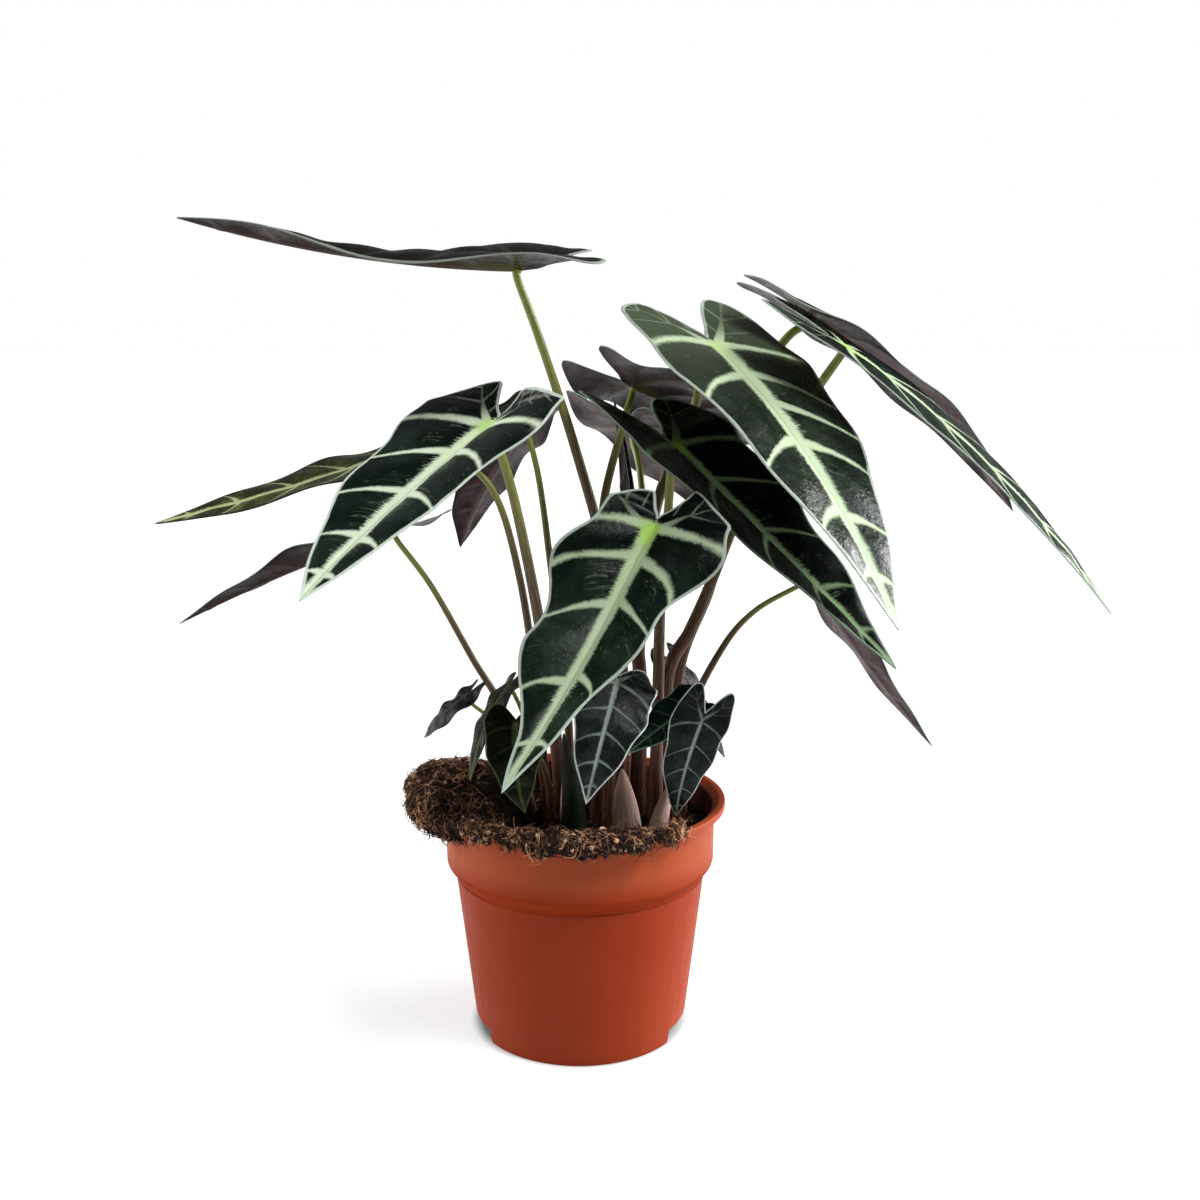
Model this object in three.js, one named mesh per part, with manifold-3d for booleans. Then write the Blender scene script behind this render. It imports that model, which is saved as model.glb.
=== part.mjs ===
// A small arrow-leaved alocasia growing in its plastic nursery pot.
// Millimetres, +Z up, origin at the middle of the pot's underside. The front of the plant faces -Y.

import * as THREE from 'three';
import { mergeVertices } from 'three/addons/utils/BufferGeometryUtils.js';
import Module from 'manifold-3d';

const wasm = await Module();
wasm.setup();

// Clearance between pieces that touch
const GAP = 0.3;

// Corners of a mesh closer than this are one corner
const SAME_POINT = 0.02;

// Nursery pot
const POT_SIDES = 40;
const WALL = 1.2;
const LIP_RADIUS = 60;
const LIP_TOP = 98.2;
const LIP_HEIGHT = 3;
const LIP_BAND = 2.6;
const COLLAR_RADIUS = 55.6;
const COLLAR_FOOT = 73;
const STEP_FOOT = 67;
const STEP_RADIUS = 51.7;
const FOOT_RADIUS = 43.8;
const FLOOR_UNDERSIDE = 4.2;
const CENTRE_PAD_RADIUS = 10;
const NOTCH_HEIGHT = 6;
const NOTCH_HALF_ANGLE = 17;
const NOTCH_ANGLES = [-90 - 72, -90 + 72, -90 - 144, -90 + 144];
const DRAIN_RADIUS = 3.5;
const DRAIN_RING = 26;
const DRAIN_COUNT = 4;

// Potting mix
const SOIL_RINGS = 4;
const SOIL_EDGE = 85;
const SOIL_MOUND = 5;
const SOIL_ROUGHNESS = 1.1;
const LUMP = { centre: [-47, -3, 97], size: [24, 31, 12.5], lean: 0.16, roughness: 0.1, detail: 4 };
const SPILL = { from: 198, to: 322, radius: 58.2, height: 98.4, across: 6.2, tall: 3.6, steps: 26 };

// Leaf blades
const BLADE_THICKNESS = 0.8;
const KEEL_DEPTH = 1.5;
const QUILT = 0.45;
const VEIN_SWEEP = 0.7;
const VEIN_RAMP = 0.12;
const LOBE_END = -0.31;
const SINUS = -0.06;
const STALK_APPROACH = 5;
const STALK_BEND = 0.5;
const STALK_SUNK = 68;
const STALK_SIDES = 6;

// Half of a blade laid flat: [place along the midrib, distance from it], both as parts of the length
// from the stalk to the tip. The outer line is the margin, the inner one the edge of the cleft.
const OUTER_LINE = [
  [-0.31, 0.19], [-0.298, 0.222], [-0.27, 0.255], [-0.22, 0.283], [-0.14, 0.305], [-0.04, 0.315],
  [0.07, 0.318], [0.17, 0.312], [0.29, 0.29], [0.42, 0.258], [0.56, 0.215], [0.7, 0.158],
  [0.82, 0.098], [0.91, 0.05], [0.97, 0.017], [1, 0],
];
const INNER_LINE = [
  [-0.31, 0.19], [-0.298, 0.158], [-0.27, 0.13], [-0.2, 0.08], [-0.12, 0.035], [-0.06, 0], [1, 0],
];
const WIDEST = 0.318;

// Places at which a leaf's own breadth, against the usual outline, is given for its two halves
const BREADTH_PLACES = [-0.31, -0.05, 0.2, 0.5, 0.8];

// Rows of a blade's mesh, which follow a side vein or run midway between two
const LARGE_ROWS = [
  -0.31, -0.28, -0.2, -0.12, -0.06, 0, 0.08, 0.17, 0.27, 0.38, 0.49, 0.61, 0.73, 0.85, 0.95, 1,
];
const SMALL_ROWS = [-0.31, -0.25, -0.15, -0.06, 0.06, 0.22, 0.4, 0.6, 0.8, 1];
const LARGE_ACROSS = [0, 0.09, 0.5, 1];
const SMALL_ACROSS = [0, 0.5, 1];

// Each leaf: where its stalk meets the blade (heart) and where it ends (tip), the way its top face looks
// (degrees to the right of the front, degrees up), how far the midrib arches towards that face and to the
// side, its turn along the length, full width, rise of the left and right halves in degrees, droop of the
// halves, length of the two lobes against the usual, lift of the lobes, margin wave and scallop, breadth of
// the two halves where it isn't the usual one, and the stalk: foot on the soil, points it passes through,
// and its radius at the foot and at the blade.
const LEAVES = [
  { name: 'upper_right', heart: [55, 11, 281], tip: [112, -80, 185], faces: [34, 45],
    arch: 9.5, aside: 1.5, twist: -6, width: 80, rise: [2, 11], droop: 0.07, lobes: [1, 0.5], lift: 2,
    wave: 0.8, beats: 2.5, phase: [0, 3], scallop: 0.05,
    foot: [24, 6], thick: [3.6, 1.7],
    stalk: [[25, 9, 140], [24, 18, 166], [29, 31, 201], [37, 40, 229], [48, 42, 255], [50, 36, 265]] },
  { name: 'dark_right', heart: [39, 3, 242], tip: [121, -38, 161], faces: [43, 57],
    arch: 3.5, aside: 5, twist: -2, width: 71, rise: [9, 15], droop: 0, lobes: [0.88, 0.98], lift: -6,
    wave: 0.7, beats: 2.5, phase: [2, -1.5], scallop: 0.09,
    foot: [31, -2], stalk: [[32, 0, 140], [33, 6, 180], [36, 10, 216]], thick: [3.3, 1.6] },
  { name: 'centre_front', heart: [26.5, -50, 215], tip: [-23.5, -125, 141.5], faces: [-10, 45],
    arch: -8, aside: 1, twist: 20, width: 64, rise: [22, 24], droop: 0, lobes: [0.5, 0.32], lift: -8,
    wave: -3, beats: 2.5, phase: [-0.84, -2.97], scallop: 0.12,
    breadth: [[0.48, 1.08, 1, 0.84, 0.94], [0.4, 0.64, 0.84, 0.91, 0.64]],
    foot: [7, -9], stalk: [[10, -13, 130], [15, -23, 165], [21, -41, 195]], thick: [3.3, 1.6] },
  { name: 'left', heart: [-35, -9, 251], tip: [-93, -93, 198], faces: [-59, 39],
    arch: 1, aside: 4, twist: -20, width: 68, rise: [5, 31], droop: 0.1, lobes: [0.25, 0.6], lift: 3.6,
    wave: -0.15, beats: 2.5, phase: [-1.7, -1.3], scallop: 0.05,
    breadth: [[0.72, 1.3, 1.19, 1, 1.1], [0.72, 1.3, 1, 0.96, 0.89]],
    foot: [-7, 2], stalk: [[-12, 3, 138], [-18, 2, 180], [-26, -1, 222]], thick: [3.6, 1.7] },
  { name: 'top_left', heart: [-24, 8, 312], tip: [-154, -2, 330], faces: [0, 89],
    arch: -4.5, aside: 0, twist: 10, width: 74, rise: [19, 30], droop: 0.38, lobes: [0.75, 0.69], lift: 0,
    wave: 6, beats: 1, phase: [1.8, 1.5], scallop: 0.02,
    foot: [16, 4], stalk: [[18, 5, 140], [12, 6, 190], [-2, 8, 242], [-16, 9, 285]], thick: [3.3, 1.5] },
  { name: 'far_right_back', heart: [98, 53, 294], tip: [191, 59, 209], faces: [104, 63],
    arch: 5.5, aside: 4.5, twist: -17, width: 56, rise: [11, 6], droop: 0.18, lobes: [0.84, 0.75], lift: -2,
    wave: 1.7, beats: 2.5, phase: [-1.9, -0.8], scallop: 0.05,
    foot: [36, 18], stalk: [[42, 22, 148], [57, 34, 187], [59, 44, 241], [85, 50, 281]], thick: [3.3, 1.6] },
  { name: 'far_right', heart: [107, 14, 281], tip: [207, -23, 179], faces: [92, 46],
    arch: 7, aside: -1, twist: 3, width: 58, rise: [15, -15], droop: 0, lobes: [0.75, 0.75], lift: 0,
    wave: 0.5, beats: 2.5, phase: [-1.7, 0.5], scallop: 0.05,
    foot: [38, 8], stalk: [[36, 12, 143], [46, 18, 164], [54, 24, 181], [75, 33, 230], [97, 20, 265]],
    thick: [3.6, 1.7] },
  { name: 'lower_right', heart: [97, 30, 184], tip: [152, 26, 111], faces: [115, 58],
    arch: -1, aside: -2, twist: -5, width: 36, rise: [6, 7], droop: 0.03, lobes: [0.75, 0.75], lift: 0,
    wave: 1.8, beats: 2.5, phase: [0.7, 0.2], scallop: 0.05,
    foot: [41, 15], stalk: [[46, 15, 128], [60, 21, 156], [74, 26, 171]], thick: [2.2, 1] },
  { name: 'left_olive', heart: [-58, 17, 245], tip: [-169, -3, 212], faces: [-21, 85],
    arch: -1.2, aside: -6, twist: -16, width: 45, rise: [6, 2], droop: 0, lobes: [0.75, 0.75], lift: 0,
    wave: 2, beats: 2.5, phase: [0.4, 1.2], scallop: 0.06,
    foot: [-14, 8], stalk: [[-18, 8, 140], [-25, 9, 190], [-36, 11, 225]], thick: [2.4, 1.2] },
  { name: 'left_purple', heart: [-77, 20, 206], tip: [-165, 8, 169], faces: [-158, 68],
    arch: 2, aside: 1, twist: -1, width: 38, rise: [14, 15], droop: 0, lobes: [0.75, 0.75], lift: 0,
    wave: 2.5, beats: 2.5, phase: [0.5, 0.7], scallop: 0.05,
    foot: [-21, 11], stalk: [[-31, 12, 128], [-45, 14, 153], [-62, 18, 183]], thick: [2.2, 1.1] },
  { name: 'hanging_purple', heart: [-24, 33, 247], tip: [-54, 59, 193], faces: [-139, 46],
    arch: 1, aside: -2.5, twist: 4, width: 40, rise: [11, 12], droop: 0, lobes: [0.75, 0.75], lift: 0,
    wave: 2.3, beats: 2.5, phase: [1.4, 3.5], scallop: 0.05,
    foot: [-4, 15], stalk: [[-6, 16, 140], [-12, 22, 188], [-17, 28, 225]], thick: [2.4, 1.1] },
  { name: 'centre_back', heart: [23, 60, 264], tip: [98, 111, 231], faces: [156, 72],
    arch: -1, aside: 2, twist: -7, width: 62, rise: [4, 6], droop: 0.13, lobes: [0.9, 0.98], lift: 3,
    wave: 2.6, beats: 2.5, phase: [0.2, 1.5], scallop: 0.05,
    foot: [10, 13], stalk: [[13, 14, 161], [10, 19, 194], [10, 26, 218], [18, 35, 249]], thick: [2.8, 1.4] },
  { name: 'centre_back_low', heart: [24, 66, 245], tip: [78, 109, 194], faces: [149, 60],
    arch: 3, aside: -3, twist: -18, width: 60, rise: [7, 5], droop: 0, lobes: [1, 0.75], lift: 0,
    wave: 2.3, beats: 2.5, phase: [-0.6, 1.5], scallop: 0.07,
    foot: [23, 28], stalk: [[25, 30, 140], [28, 42, 190], [26, 54, 225]], thick: [2.6, 1.3] },
  { name: 'young_front', heart: [15, -40, 157], tip: [3, -60, 115], faces: [13, 12],
    arch: 7, aside: 2, twist: 7, width: 32, rise: [7, 11], droop: 0.09, lobes: [0.75, 0.75], lift: -2,
    wave: 1.8, beats: 2.5, phase: [1.8, 1.3], scallop: 0.05,
    foot: [12, -16], stalk: [[13, -18, 115], [14, -26, 138]], thick: [1.7, 0.9] },
  { name: 'young_right', heart: [47, -44, 143], tip: [38, -34, 101], faces: [13, 10],
    arch: 3, aside: 2.5, twist: -3, width: 22, rise: [10, -1], droop: 0.15, lobes: [0.91, 0.8], lift: 1,
    wave: 1.2, beats: 2.5, phase: [1.5, 4.5], scallop: 0.04,
    foot: [34, -7], stalk: [[37, -11, 108], [43, -24, 130]], thick: [1.7, 0.9] },
  { name: 'young_between', heart: [44, -15, 140], tip: [19, -30, 125], faces: [-16, 49],
    arch: 0, aside: 0.5, twist: 3, width: 20, rise: [8, 10], droop: 0, lobes: [0.75, 0.75], lift: 0,
    wave: 1.2, beats: 2.5, phase: [1, 2.6], scallop: 0.04,
    foot: [42, -4], stalk: [[45, -6, 112], [46, -12, 130]], thick: [1.6, 0.8] },
  { name: 'young_back_right', heart: [42, 41, 142], tip: [64, 45, 100], faces: [38, 45],
    arch: 3.5, aside: 2.5, twist: 0, width: 20, rise: [-5, 0], droop: 0.13, lobes: [0.75, 0.75], lift: 0,
    wave: 1.2, beats: 2.5, phase: [-1.3, 1.5], scallop: 0.04,
    foot: [31, 29], stalk: [[32, 32, 115], [35, 37, 132]], thick: [1.6, 0.8] },
  { name: 'young_left', heart: [-46, -8, 143], tip: [-64, -1, 123], faces: [-58, 44],
    arch: 3, aside: -3.5, twist: 0, width: 15, rise: [2, 2], droop: 0.12, lobes: [0.75, 0.75], lift: 1,
    wave: 1, beats: 2.5, phase: [-1.4, 2], scallop: 0.04,
    foot: [-20, 2], stalk: [[-26, 0, 112], [-36, -4, 131]], thick: [1.4, 0.7] },
  { name: 'drooping_grey', heart: [-28, -19, 150], tip: [-41, -48, 120], faces: [-51, 32],
    arch: 4, aside: -1, twist: -1, width: 14, rise: [2, 2], droop: 0.14, lobes: [0.75, 0.75], lift: 0,
    wave: 1, beats: 2.5, phase: [-0.7, 0.1], scallop: 0.04,
    foot: [-14, -4], stalk: [[-16, -6, 112], [-22, -11, 134]], thick: [1.5, 0.8] },
  { name: 'behind_tip', heart: [-24, -40, 140], tip: [-20, -50, 108], faces: [-6, 20],
    arch: 4, aside: 1, twist: 0, width: 24, rise: [5, 11], droop: 0.05, lobes: [0.75, 0.63], lift: -1,
    wave: 1, beats: 2.5, phase: [0.6, 1.1], scallop: 0.05,
    foot: [-11, -12], stalk: [[-13, -14, 110], [-19, -20, 126]], thick: [1.6, 0.9] },
  { name: 'rolled', heart: [18, 39, 192], tip: [14, 45, 260], faces: [80, 20],
    arch: 1.5, aside: -2, twist: -10, width: 15, rise: [50, 50], droop: 0, lobes: [0.38, 0.38], lift: 0,
    wave: 0, beats: 2.5, phase: [0, 0], scallop: 0.02,
    foot: [14, 23], stalk: [[14, 25, 140], [15, 31, 175]], thick: [2.2, 1.2] },
];

// Leaves that are small enough for the coarser mesh
const SMALL_BLADE_WIDTH = 42;

// Papery sheaths that wrap the feet of the stalks, and one green leaf still rolled in its sheath:
// foot on the soil, way it looks (degrees right of the front), height, width at the foot, lean outwards
const SHEATHS = [
  { name: 'sheath_centre', foot: [19, -15], looks: 4, height: 30, width: 15, lean: -2, colour: 0x8c7a66 },
  { name: 'sheath_right', foot: [32, -16], looks: 25, height: 26, width: 11, lean: 6, colour: 0x84705c },
  { name: 'sheath_left', foot: [-4, -12], looks: -20, height: 24, width: 12, lean: -2, colour: 0x7b5a50 },
  { name: 'sheath_back', foot: [6, 21], looks: 175, height: 24, width: 13, lean: 2, colour: 0x7d6a58 },
  { name: 'green_spear', foot: [-2, -20], looks: -6, height: 46, width: 11, lean: -4, colour: 0x1f2c22 },
];

const COLOURS = {
  pot: 0x9c4630,
  soil: 0x2c1d14,
  blade: 0x16231b,
  stalk: 0x5a4a2c,
};

const rad = THREE.MathUtils.degToRad;

function vec(point) {
  return new THREE.Vector3(point[0], point[1], point[2]);
}

// Repeatable random numbers between 0 and 1
function makeRandom(seed) {
  let state = seed;
  return () => {
    state = (state * 1664525 + 1013904223) % 4294967296;
    return state / 4294967296;
  };
}

function lineAt(line, place) {
  let k = 1;
  while (k < line.length - 1 && place > line[k][0]) k += 1;
  const [x0, y0] = line[k - 1];
  const [x1, y1] = line[k];
  const part = THREE.MathUtils.clamp((place - x0) / (x1 - x0), 0, 1);
  return y0 + part * (y1 - y0);
}

// A copy with places only, so that corners can be merged
function bareGeometry(geometry) {
  const bare = geometry.clone();
  bare.deleteAttribute('normal');
  bare.deleteAttribute('uv');
  return bare;
}

// A closed geometry as a solid: shared corners merged, faces without area left out
function solidOf(geometry) {
  const merged = mergeVertices(bareGeometry(geometry), 1e-4);
  const index = Array.from(merged.index.array);
  const kept = [];
  for (let i = 0; i < index.length; i += 3) {
    const [a, b, c] = index.slice(i, i + 3);
    if (a !== b && b !== c && c !== a) kept.push(a, b, c);
  }
  return new wasm.Manifold(new wasm.Mesh({
    numProp: 3,
    vertProperties: new Float32Array(merged.attributes.position.array),
    triVerts: new Uint32Array(kept),
  }));
}

function largestPiece(solid) {
  const pieces = solid.decompose();
  pieces.sort((a, b) => b.volume() - a.volume());
  return pieces[0];
}

function geometryOf(solid) {
  const mesh = solid.getMesh();
  return indexed(mesh.vertProperties, Array.from(mesh.triVerts));
}

function indexed(positions, index) {
  const geometry = new THREE.BufferGeometry();
  geometry.setAttribute('position', new THREE.BufferAttribute(new Float32Array(positions), 3));
  geometry.setIndex(index);
  geometry.computeVertexNormals();
  return geometry;
}

// Closed plate from a grid of surface points: equal triangles above and below, walls on the free edges
function plate(points, triangles, above, below) {
  const used = triangles.filter(([a, b, c]) => a !== b && b !== c && c !== a);
  const normals = points.map(() => new THREE.Vector3());
  used.forEach(([a, b, c]) => {
    const face = points[b].clone().sub(points[a]).cross(points[c].clone().sub(points[a]));
    [a, b, c].forEach((k) => normals[k].add(face));
  });
  const positions = [];
  const put = (k, distance) => {
    const n = normals[k].clone().normalize();
    positions.push(...points[k].clone().addScaledVector(n, distance).toArray());
  };
  points.forEach((_, k) => put(k, above(k)));
  points.forEach((_, k) => put(k, -below(k)));
  const edges = new Map();
  used.forEach(([a, b, c]) => [[a, b], [b, c], [c, a]].forEach(([p, q]) => {
    if (!edges.delete(`${q},${p}`)) edges.set(`${p},${q}`, [p, q]);
  }));
  const count = points.length;
  const index = [];
  used.forEach(([a, b, c]) => index.push(a, b, c, count + a, count + c, count + b));
  edges.forEach(([p, q]) => index.push(p, count + p, count + q, p, count + q, q));
  return indexed(positions, index);
}

// Points in a list without doubles, and the number of each point asked for
function pointStore() {
  const points = [];
  const add = (point) => {
    const known = points.findIndex((other) => other.distanceTo(point) < SAME_POINT);
    if (known >= 0) return known;
    points.push(point);
    return points.length - 1;
  };
  return { points, add };
}

// The midrib of a blade and the three directions that go with it
function leafFrame(leaf) {
  const heart = vec(leaf.heart);
  const tip = vec(leaf.tip);
  const along = tip.clone().sub(heart).normalize();
  const [turn, up] = leaf.faces.map(rad);
  const face = new THREE.Vector3(Math.sin(turn) * Math.cos(up), -Math.cos(turn) * Math.cos(up), Math.sin(up));
  face.addScaledVector(along, -face.dot(along)).normalize();
  const side = along.clone().cross(face);
  const middle = heart.clone().add(tip).multiplyScalar(0.5);
  middle.addScaledVector(face, 2 * leaf.arch).addScaledVector(side, 2 * leaf.aside);
  return { heart, tip, middle, face };
}

function midribAt(frame, t) {
  const { heart, tip, middle, face } = frame;
  const point = heart.clone().multiplyScalar((1 - t) ** 2);
  point.addScaledVector(middle, 2 * t * (1 - t)).addScaledVector(tip, t * t);
  const along = middle.clone().sub(heart).multiplyScalar(1 - t);
  along.addScaledVector(tip.clone().sub(middle), t).normalize();
  const normal = face.clone().addScaledVector(along, -face.dot(along)).normalize();
  return { point, along, normal };
}

// How broad half a blade is at a place, against the usual outline
function breadthAt(leaf, hand, t) {
  if (!leaf.breadth) return 1;
  return lineAt(BREADTH_PLACES.map((place, k) => [place, leaf.breadth[hand][k]]), t);
}

// A point of the blade: t along it, side -1 left or 1 right seen from above, part of the way across
function bladePoint(leaf, frame, t, side, across) {
  const hand = side < 0 ? 0 : 1;
  const along = t < SINUS ? SINUS + (t - SINUS) * leaf.lobes[hand] : t;
  const rib = midribAt(frame, along);
  const turned = rib.normal.clone().applyAxisAngle(rib.along, rad(leaf.twist * t));
  const sideways = rib.along.clone().cross(turned).multiplyScalar(side);
  const half = leaf.width / 2;
  const beat = 2 * Math.PI * leaf.beats * t + leaf.phase[hand];
  const fade = THREE.MathUtils.clamp(t / 0.1 + 0.5, 0, 1);
  const broad = half * breadthAt(leaf, hand, t);
  const inner = lineAt(INNER_LINE, t) / WIDEST * broad;
  const outer = lineAt(OUTER_LINE, t) / WIDEST * broad * (1 + leaf.scallop * Math.cos(beat) * fade);
  const out = inner + across * (outer - inner);
  const part = out / half;
  const rise = rad(leaf.rise[hand]);
  const lobe = Math.max(0, t / LOBE_END) ** 1.5;
  const height = out * Math.sin(rise) - leaf.droop * out * part + leaf.lift * lobe
    + leaf.wave * part * part * Math.sin(beat);
  return rib.point.clone().addScaledVector(sideways, out * Math.cos(rise)).addScaledVector(turned, height);
}

// Place along the blade of a row that starts at t on the midrib and sweeps forward to the margin
function sweptPlace(t, across) {
  const ramp = THREE.MathUtils.smoothstep(t, SINUS, VEIN_RAMP);
  return t + VEIN_SWEEP * ramp * across * lineAt(OUTER_LINE, t) * (1 - t ** 3);
}

// How far the midrib stands out below the blade
function keelDepth(leaf, t) {
  const depth = leaf.width < SMALL_BLADE_WIDTH ? KEEL_DEPTH / 2 : KEEL_DEPTH;
  return depth * (1 - t);
}

function bladeGeometry(leaf) {
  const small = leaf.width < SMALL_BLADE_WIDTH;
  const rows = small ? SMALL_ROWS : LARGE_ROWS;
  const steps = small ? SMALL_ACROSS : LARGE_ACROSS;
  const frame = leafFrame(leaf);
  const store = pointStore();
  const keel = new Map();
  const triangles = [];
  const quilt = small ? 0 : QUILT;
  [-1, 1].forEach((side) => {
    const grid = rows.map((t, row) => steps.map((across) => {
      const point = bladePoint(leaf, frame, sweptPlace(t, across), side, across);
      const puff = t > SINUS && t < 1 ? quilt * Math.sin(Math.PI * across) * (row % 2 ? -1 : 1) : 0;
      point.addScaledVector(midribAt(frame, Math.max(0, t)).normal, puff);
      const number = store.add(point);
      if (across === 0 && t > SINUS) keel.set(number, keelDepth(leaf, t));
      return number;
    }));
    for (let r = 0; r + 1 < rows.length; r += 1) {
      for (let c = 0; c + 1 < steps.length; c += 1) {
        const [a, b, d, e] = [grid[r][c], grid[r][c + 1], grid[r + 1][c], grid[r + 1][c + 1]];
        if (side > 0) triangles.push([a, b, e], [a, e, d]);
        else triangles.push([a, e, b], [a, d, e]);
      }
    }
  });
  const half = BLADE_THICKNESS / 2;
  return plate(store.points, triangles, () => half, (k) => half + (keel.get(k) || 0));
}

// The line of a leaf's stalk, from inside the soil to the underside of the blade
function stalkCurve(leaf) {
  const frame = leafFrame(leaf);
  const heart = midribAt(frame, 0);
  const [x, y] = leaf.foot;
  const points = [new THREE.Vector3(x, y, STALK_SUNK), new THREE.Vector3(x, y, SOIL_EDGE + 4)];
  leaf.stalk.forEach((point) => points.push(vec(point)));
  const end = BLADE_THICKNESS / 2 + keelDepth(leaf, 0) + GAP;
  points.push(heart.point.clone().addScaledVector(heart.normal, -STALK_APPROACH));
  points.push(heart.point.clone().addScaledVector(heart.normal, -end));
  return new THREE.CatmullRomCurve3(points, false, 'catmullrom', STALK_BEND);
}

function stalkGeometry(leaf, grow = 0) {
  const curve = stalkCurve(leaf);
  const steps = (curve.points.length - 2) * 2 + 1;
  const sides = STALK_SIDES;
  const store = [];
  const reference = new THREE.Vector3(1, 0.3, 0).normalize();
  for (let s = 0; s <= steps; s += 1) {
    const t = s < steps ? s / (steps + 1) : 1;
    const along = s < steps ? curve.getTangent(t) : midribAt(leafFrame(leaf), 0).normal;
    const centre = curve.getPoint(t);
    if (s === 0) centre.z -= grow;
    const across = reference.clone().addScaledVector(along, -reference.dot(along)).normalize();
    const third = along.clone().cross(across);
    const radius = leaf.thick[1] + (leaf.thick[0] - leaf.thick[1]) * (1 - t) ** 1.6 + grow;
    for (let k = 0; k < sides; k += 1) {
      const turn = (2 * Math.PI * k) / sides;
      const point = centre.clone().addScaledVector(across, radius * Math.cos(turn));
      store.push(point.addScaledVector(third, radius * Math.sin(turn)));
    }
  }
  const index = [];
  for (let s = 0; s < steps; s += 1) {
    for (let k = 0; k < sides; k += 1) {
      const [a, b] = [s * sides + k, s * sides + (k + 1) % sides];
      index.push(a, b, b + sides, a, b + sides, a + sides);
    }
  }
  for (let k = 1; k + 1 < sides; k += 1) {
    index.push(0, k + 1, k);
    index.push(steps * sides, steps * sides + k, steps * sides + k + 1);
  }
  return indexed(store.flatMap((point) => point.toArray()), index);
}

// A tapering sheath, curved round the stalks behind it
function sheathGeometry(sheath, grow = 0) {
  const rows = 6;
  const columns = 4;
  const store = pointStore();
  const [x, y] = sheath.foot;
  const turn = rad(sheath.looks);
  const out = new THREE.Vector3(Math.sin(turn), -Math.cos(turn), 0);
  const side = new THREE.Vector3(Math.cos(turn), Math.sin(turn), 0);
  const bottom = STALK_SUNK + 8 - grow;
  const top = SOIL_EDGE + sheath.height;
  const triangles = [];
  const grid = [];
  for (let r = 0; r <= rows; r += 1) {
    const part = r / rows;
    const width = (sheath.width / 2) * Math.sqrt(1 - part ** 1.7);
    const row = [];
    for (let c = 0; c <= columns; c += 1) {
      const across = (2 * c) / columns - 1;
      const offset = across * (width + grow);
      const point = new THREE.Vector3(x, y, bottom + part * (top - bottom));
      point.addScaledVector(side, offset + sheath.lean * part * part);
      point.addScaledVector(out, 2 * part * part - 0.55 * width * across * across);
      row.push(store.add(point));
    }
    grid.push(row);
  }
  for (let r = 0; r < rows; r += 1) {
    for (let c = 0; c < columns; c += 1) {
      const [a, b, d, e] = [grid[r][c], grid[r][c + 1], grid[r + 1][c], grid[r + 1][c + 1]];
      triangles.push([a, b, e], [a, e, d]);
    }
  }
  const half = BLADE_THICKNESS / 2 + grow;
  return plate(store.points, triangles, () => half, () => half);
}

// Section of the pot on one side of its axis, from the underside round the lip to the inside
function potProfile(grow = 0) {
  const floorTop = FLOOR_UNDERSIDE + WALL;
  const inside = (radius) => radius - WALL - grow;
  const outside = (radius) => radius + grow;
  const points = [
    [0, -grow], [CENTRE_PAD_RADIUS + grow, -grow], [CENTRE_PAD_RADIUS + grow, FLOOR_UNDERSIDE - grow],
    [inside(FOOT_RADIUS), FLOOR_UNDERSIDE - grow], [inside(FOOT_RADIUS), -grow],
    [outside(FOOT_RADIUS), -grow], [outside(STEP_RADIUS), STEP_FOOT - grow],
    [outside(STEP_RADIUS + 0.7), STEP_FOOT + 2 - grow],
    [outside(COLLAR_RADIUS - 0.7), COLLAR_FOOT - 1.2 - grow],
    [outside(COLLAR_RADIUS - 0.2), COLLAR_FOOT - grow],
    [outside(COLLAR_RADIUS), LIP_TOP - LIP_HEIGHT - grow],
    [outside(LIP_RADIUS - 0.3), LIP_TOP - LIP_HEIGHT - grow],
    [outside(LIP_RADIUS), LIP_TOP - LIP_HEIGHT + 0.6], [outside(LIP_RADIUS), LIP_TOP - 0.7],
    [outside(LIP_RADIUS - 0.8), LIP_TOP + grow], [LIP_RADIUS - LIP_BAND - grow, LIP_TOP + grow],
    [inside(COLLAR_RADIUS), LIP_TOP - LIP_BAND + grow / 2],
    [inside(COLLAR_RADIUS - 0.2), COLLAR_FOOT + grow], [inside(STEP_RADIUS + 0.7), STEP_FOOT + 2 + grow],
    [inside(FOOT_RADIUS) + 0.8, floorTop + grow], [0, floorTop + grow],
  ];
  return points.map(([radius, height]) => new THREE.Vector2(radius, height));
}

function turned(profile, sides) {
  return new THREE.LatheGeometry(profile, sides).rotateX(Math.PI / 2);
}

function movedBox(size, centre, turn) {
  const box = new THREE.BoxGeometry(...size);
  return box.translate(...centre).rotateZ(turn);
}

function potSolid() {
  let pot = solidOf(turned(potProfile(), POT_SIDES));
  const reach = 14;
  const width = 2 * FOOT_RADIUS * Math.sin(rad(NOTCH_HALF_ANGLE));
  NOTCH_ANGLES.forEach((angle) => {
    const size = [reach, width, NOTCH_HEIGHT + 1];
    const cut = movedBox(size, [FOOT_RADIUS, 0, NOTCH_HEIGHT / 2 - 0.5], rad(angle));
    pot = pot.subtract(solidOf(cut));
  });
  for (let k = 0; k < DRAIN_COUNT; k += 1) {
    const turn = ((k + 0.5) * 2 * Math.PI) / DRAIN_COUNT;
    const drain = new THREE.CylinderGeometry(DRAIN_RADIUS, DRAIN_RADIUS, 4 * WALL, 10).rotateX(Math.PI / 2);
    drain.translate(DRAIN_RING * Math.cos(turn), DRAIN_RING * Math.sin(turn), FLOOR_UNDERSIDE + WALL / 2);
    pot = pot.subtract(solidOf(drain));
  }
  return pot;
}

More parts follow.
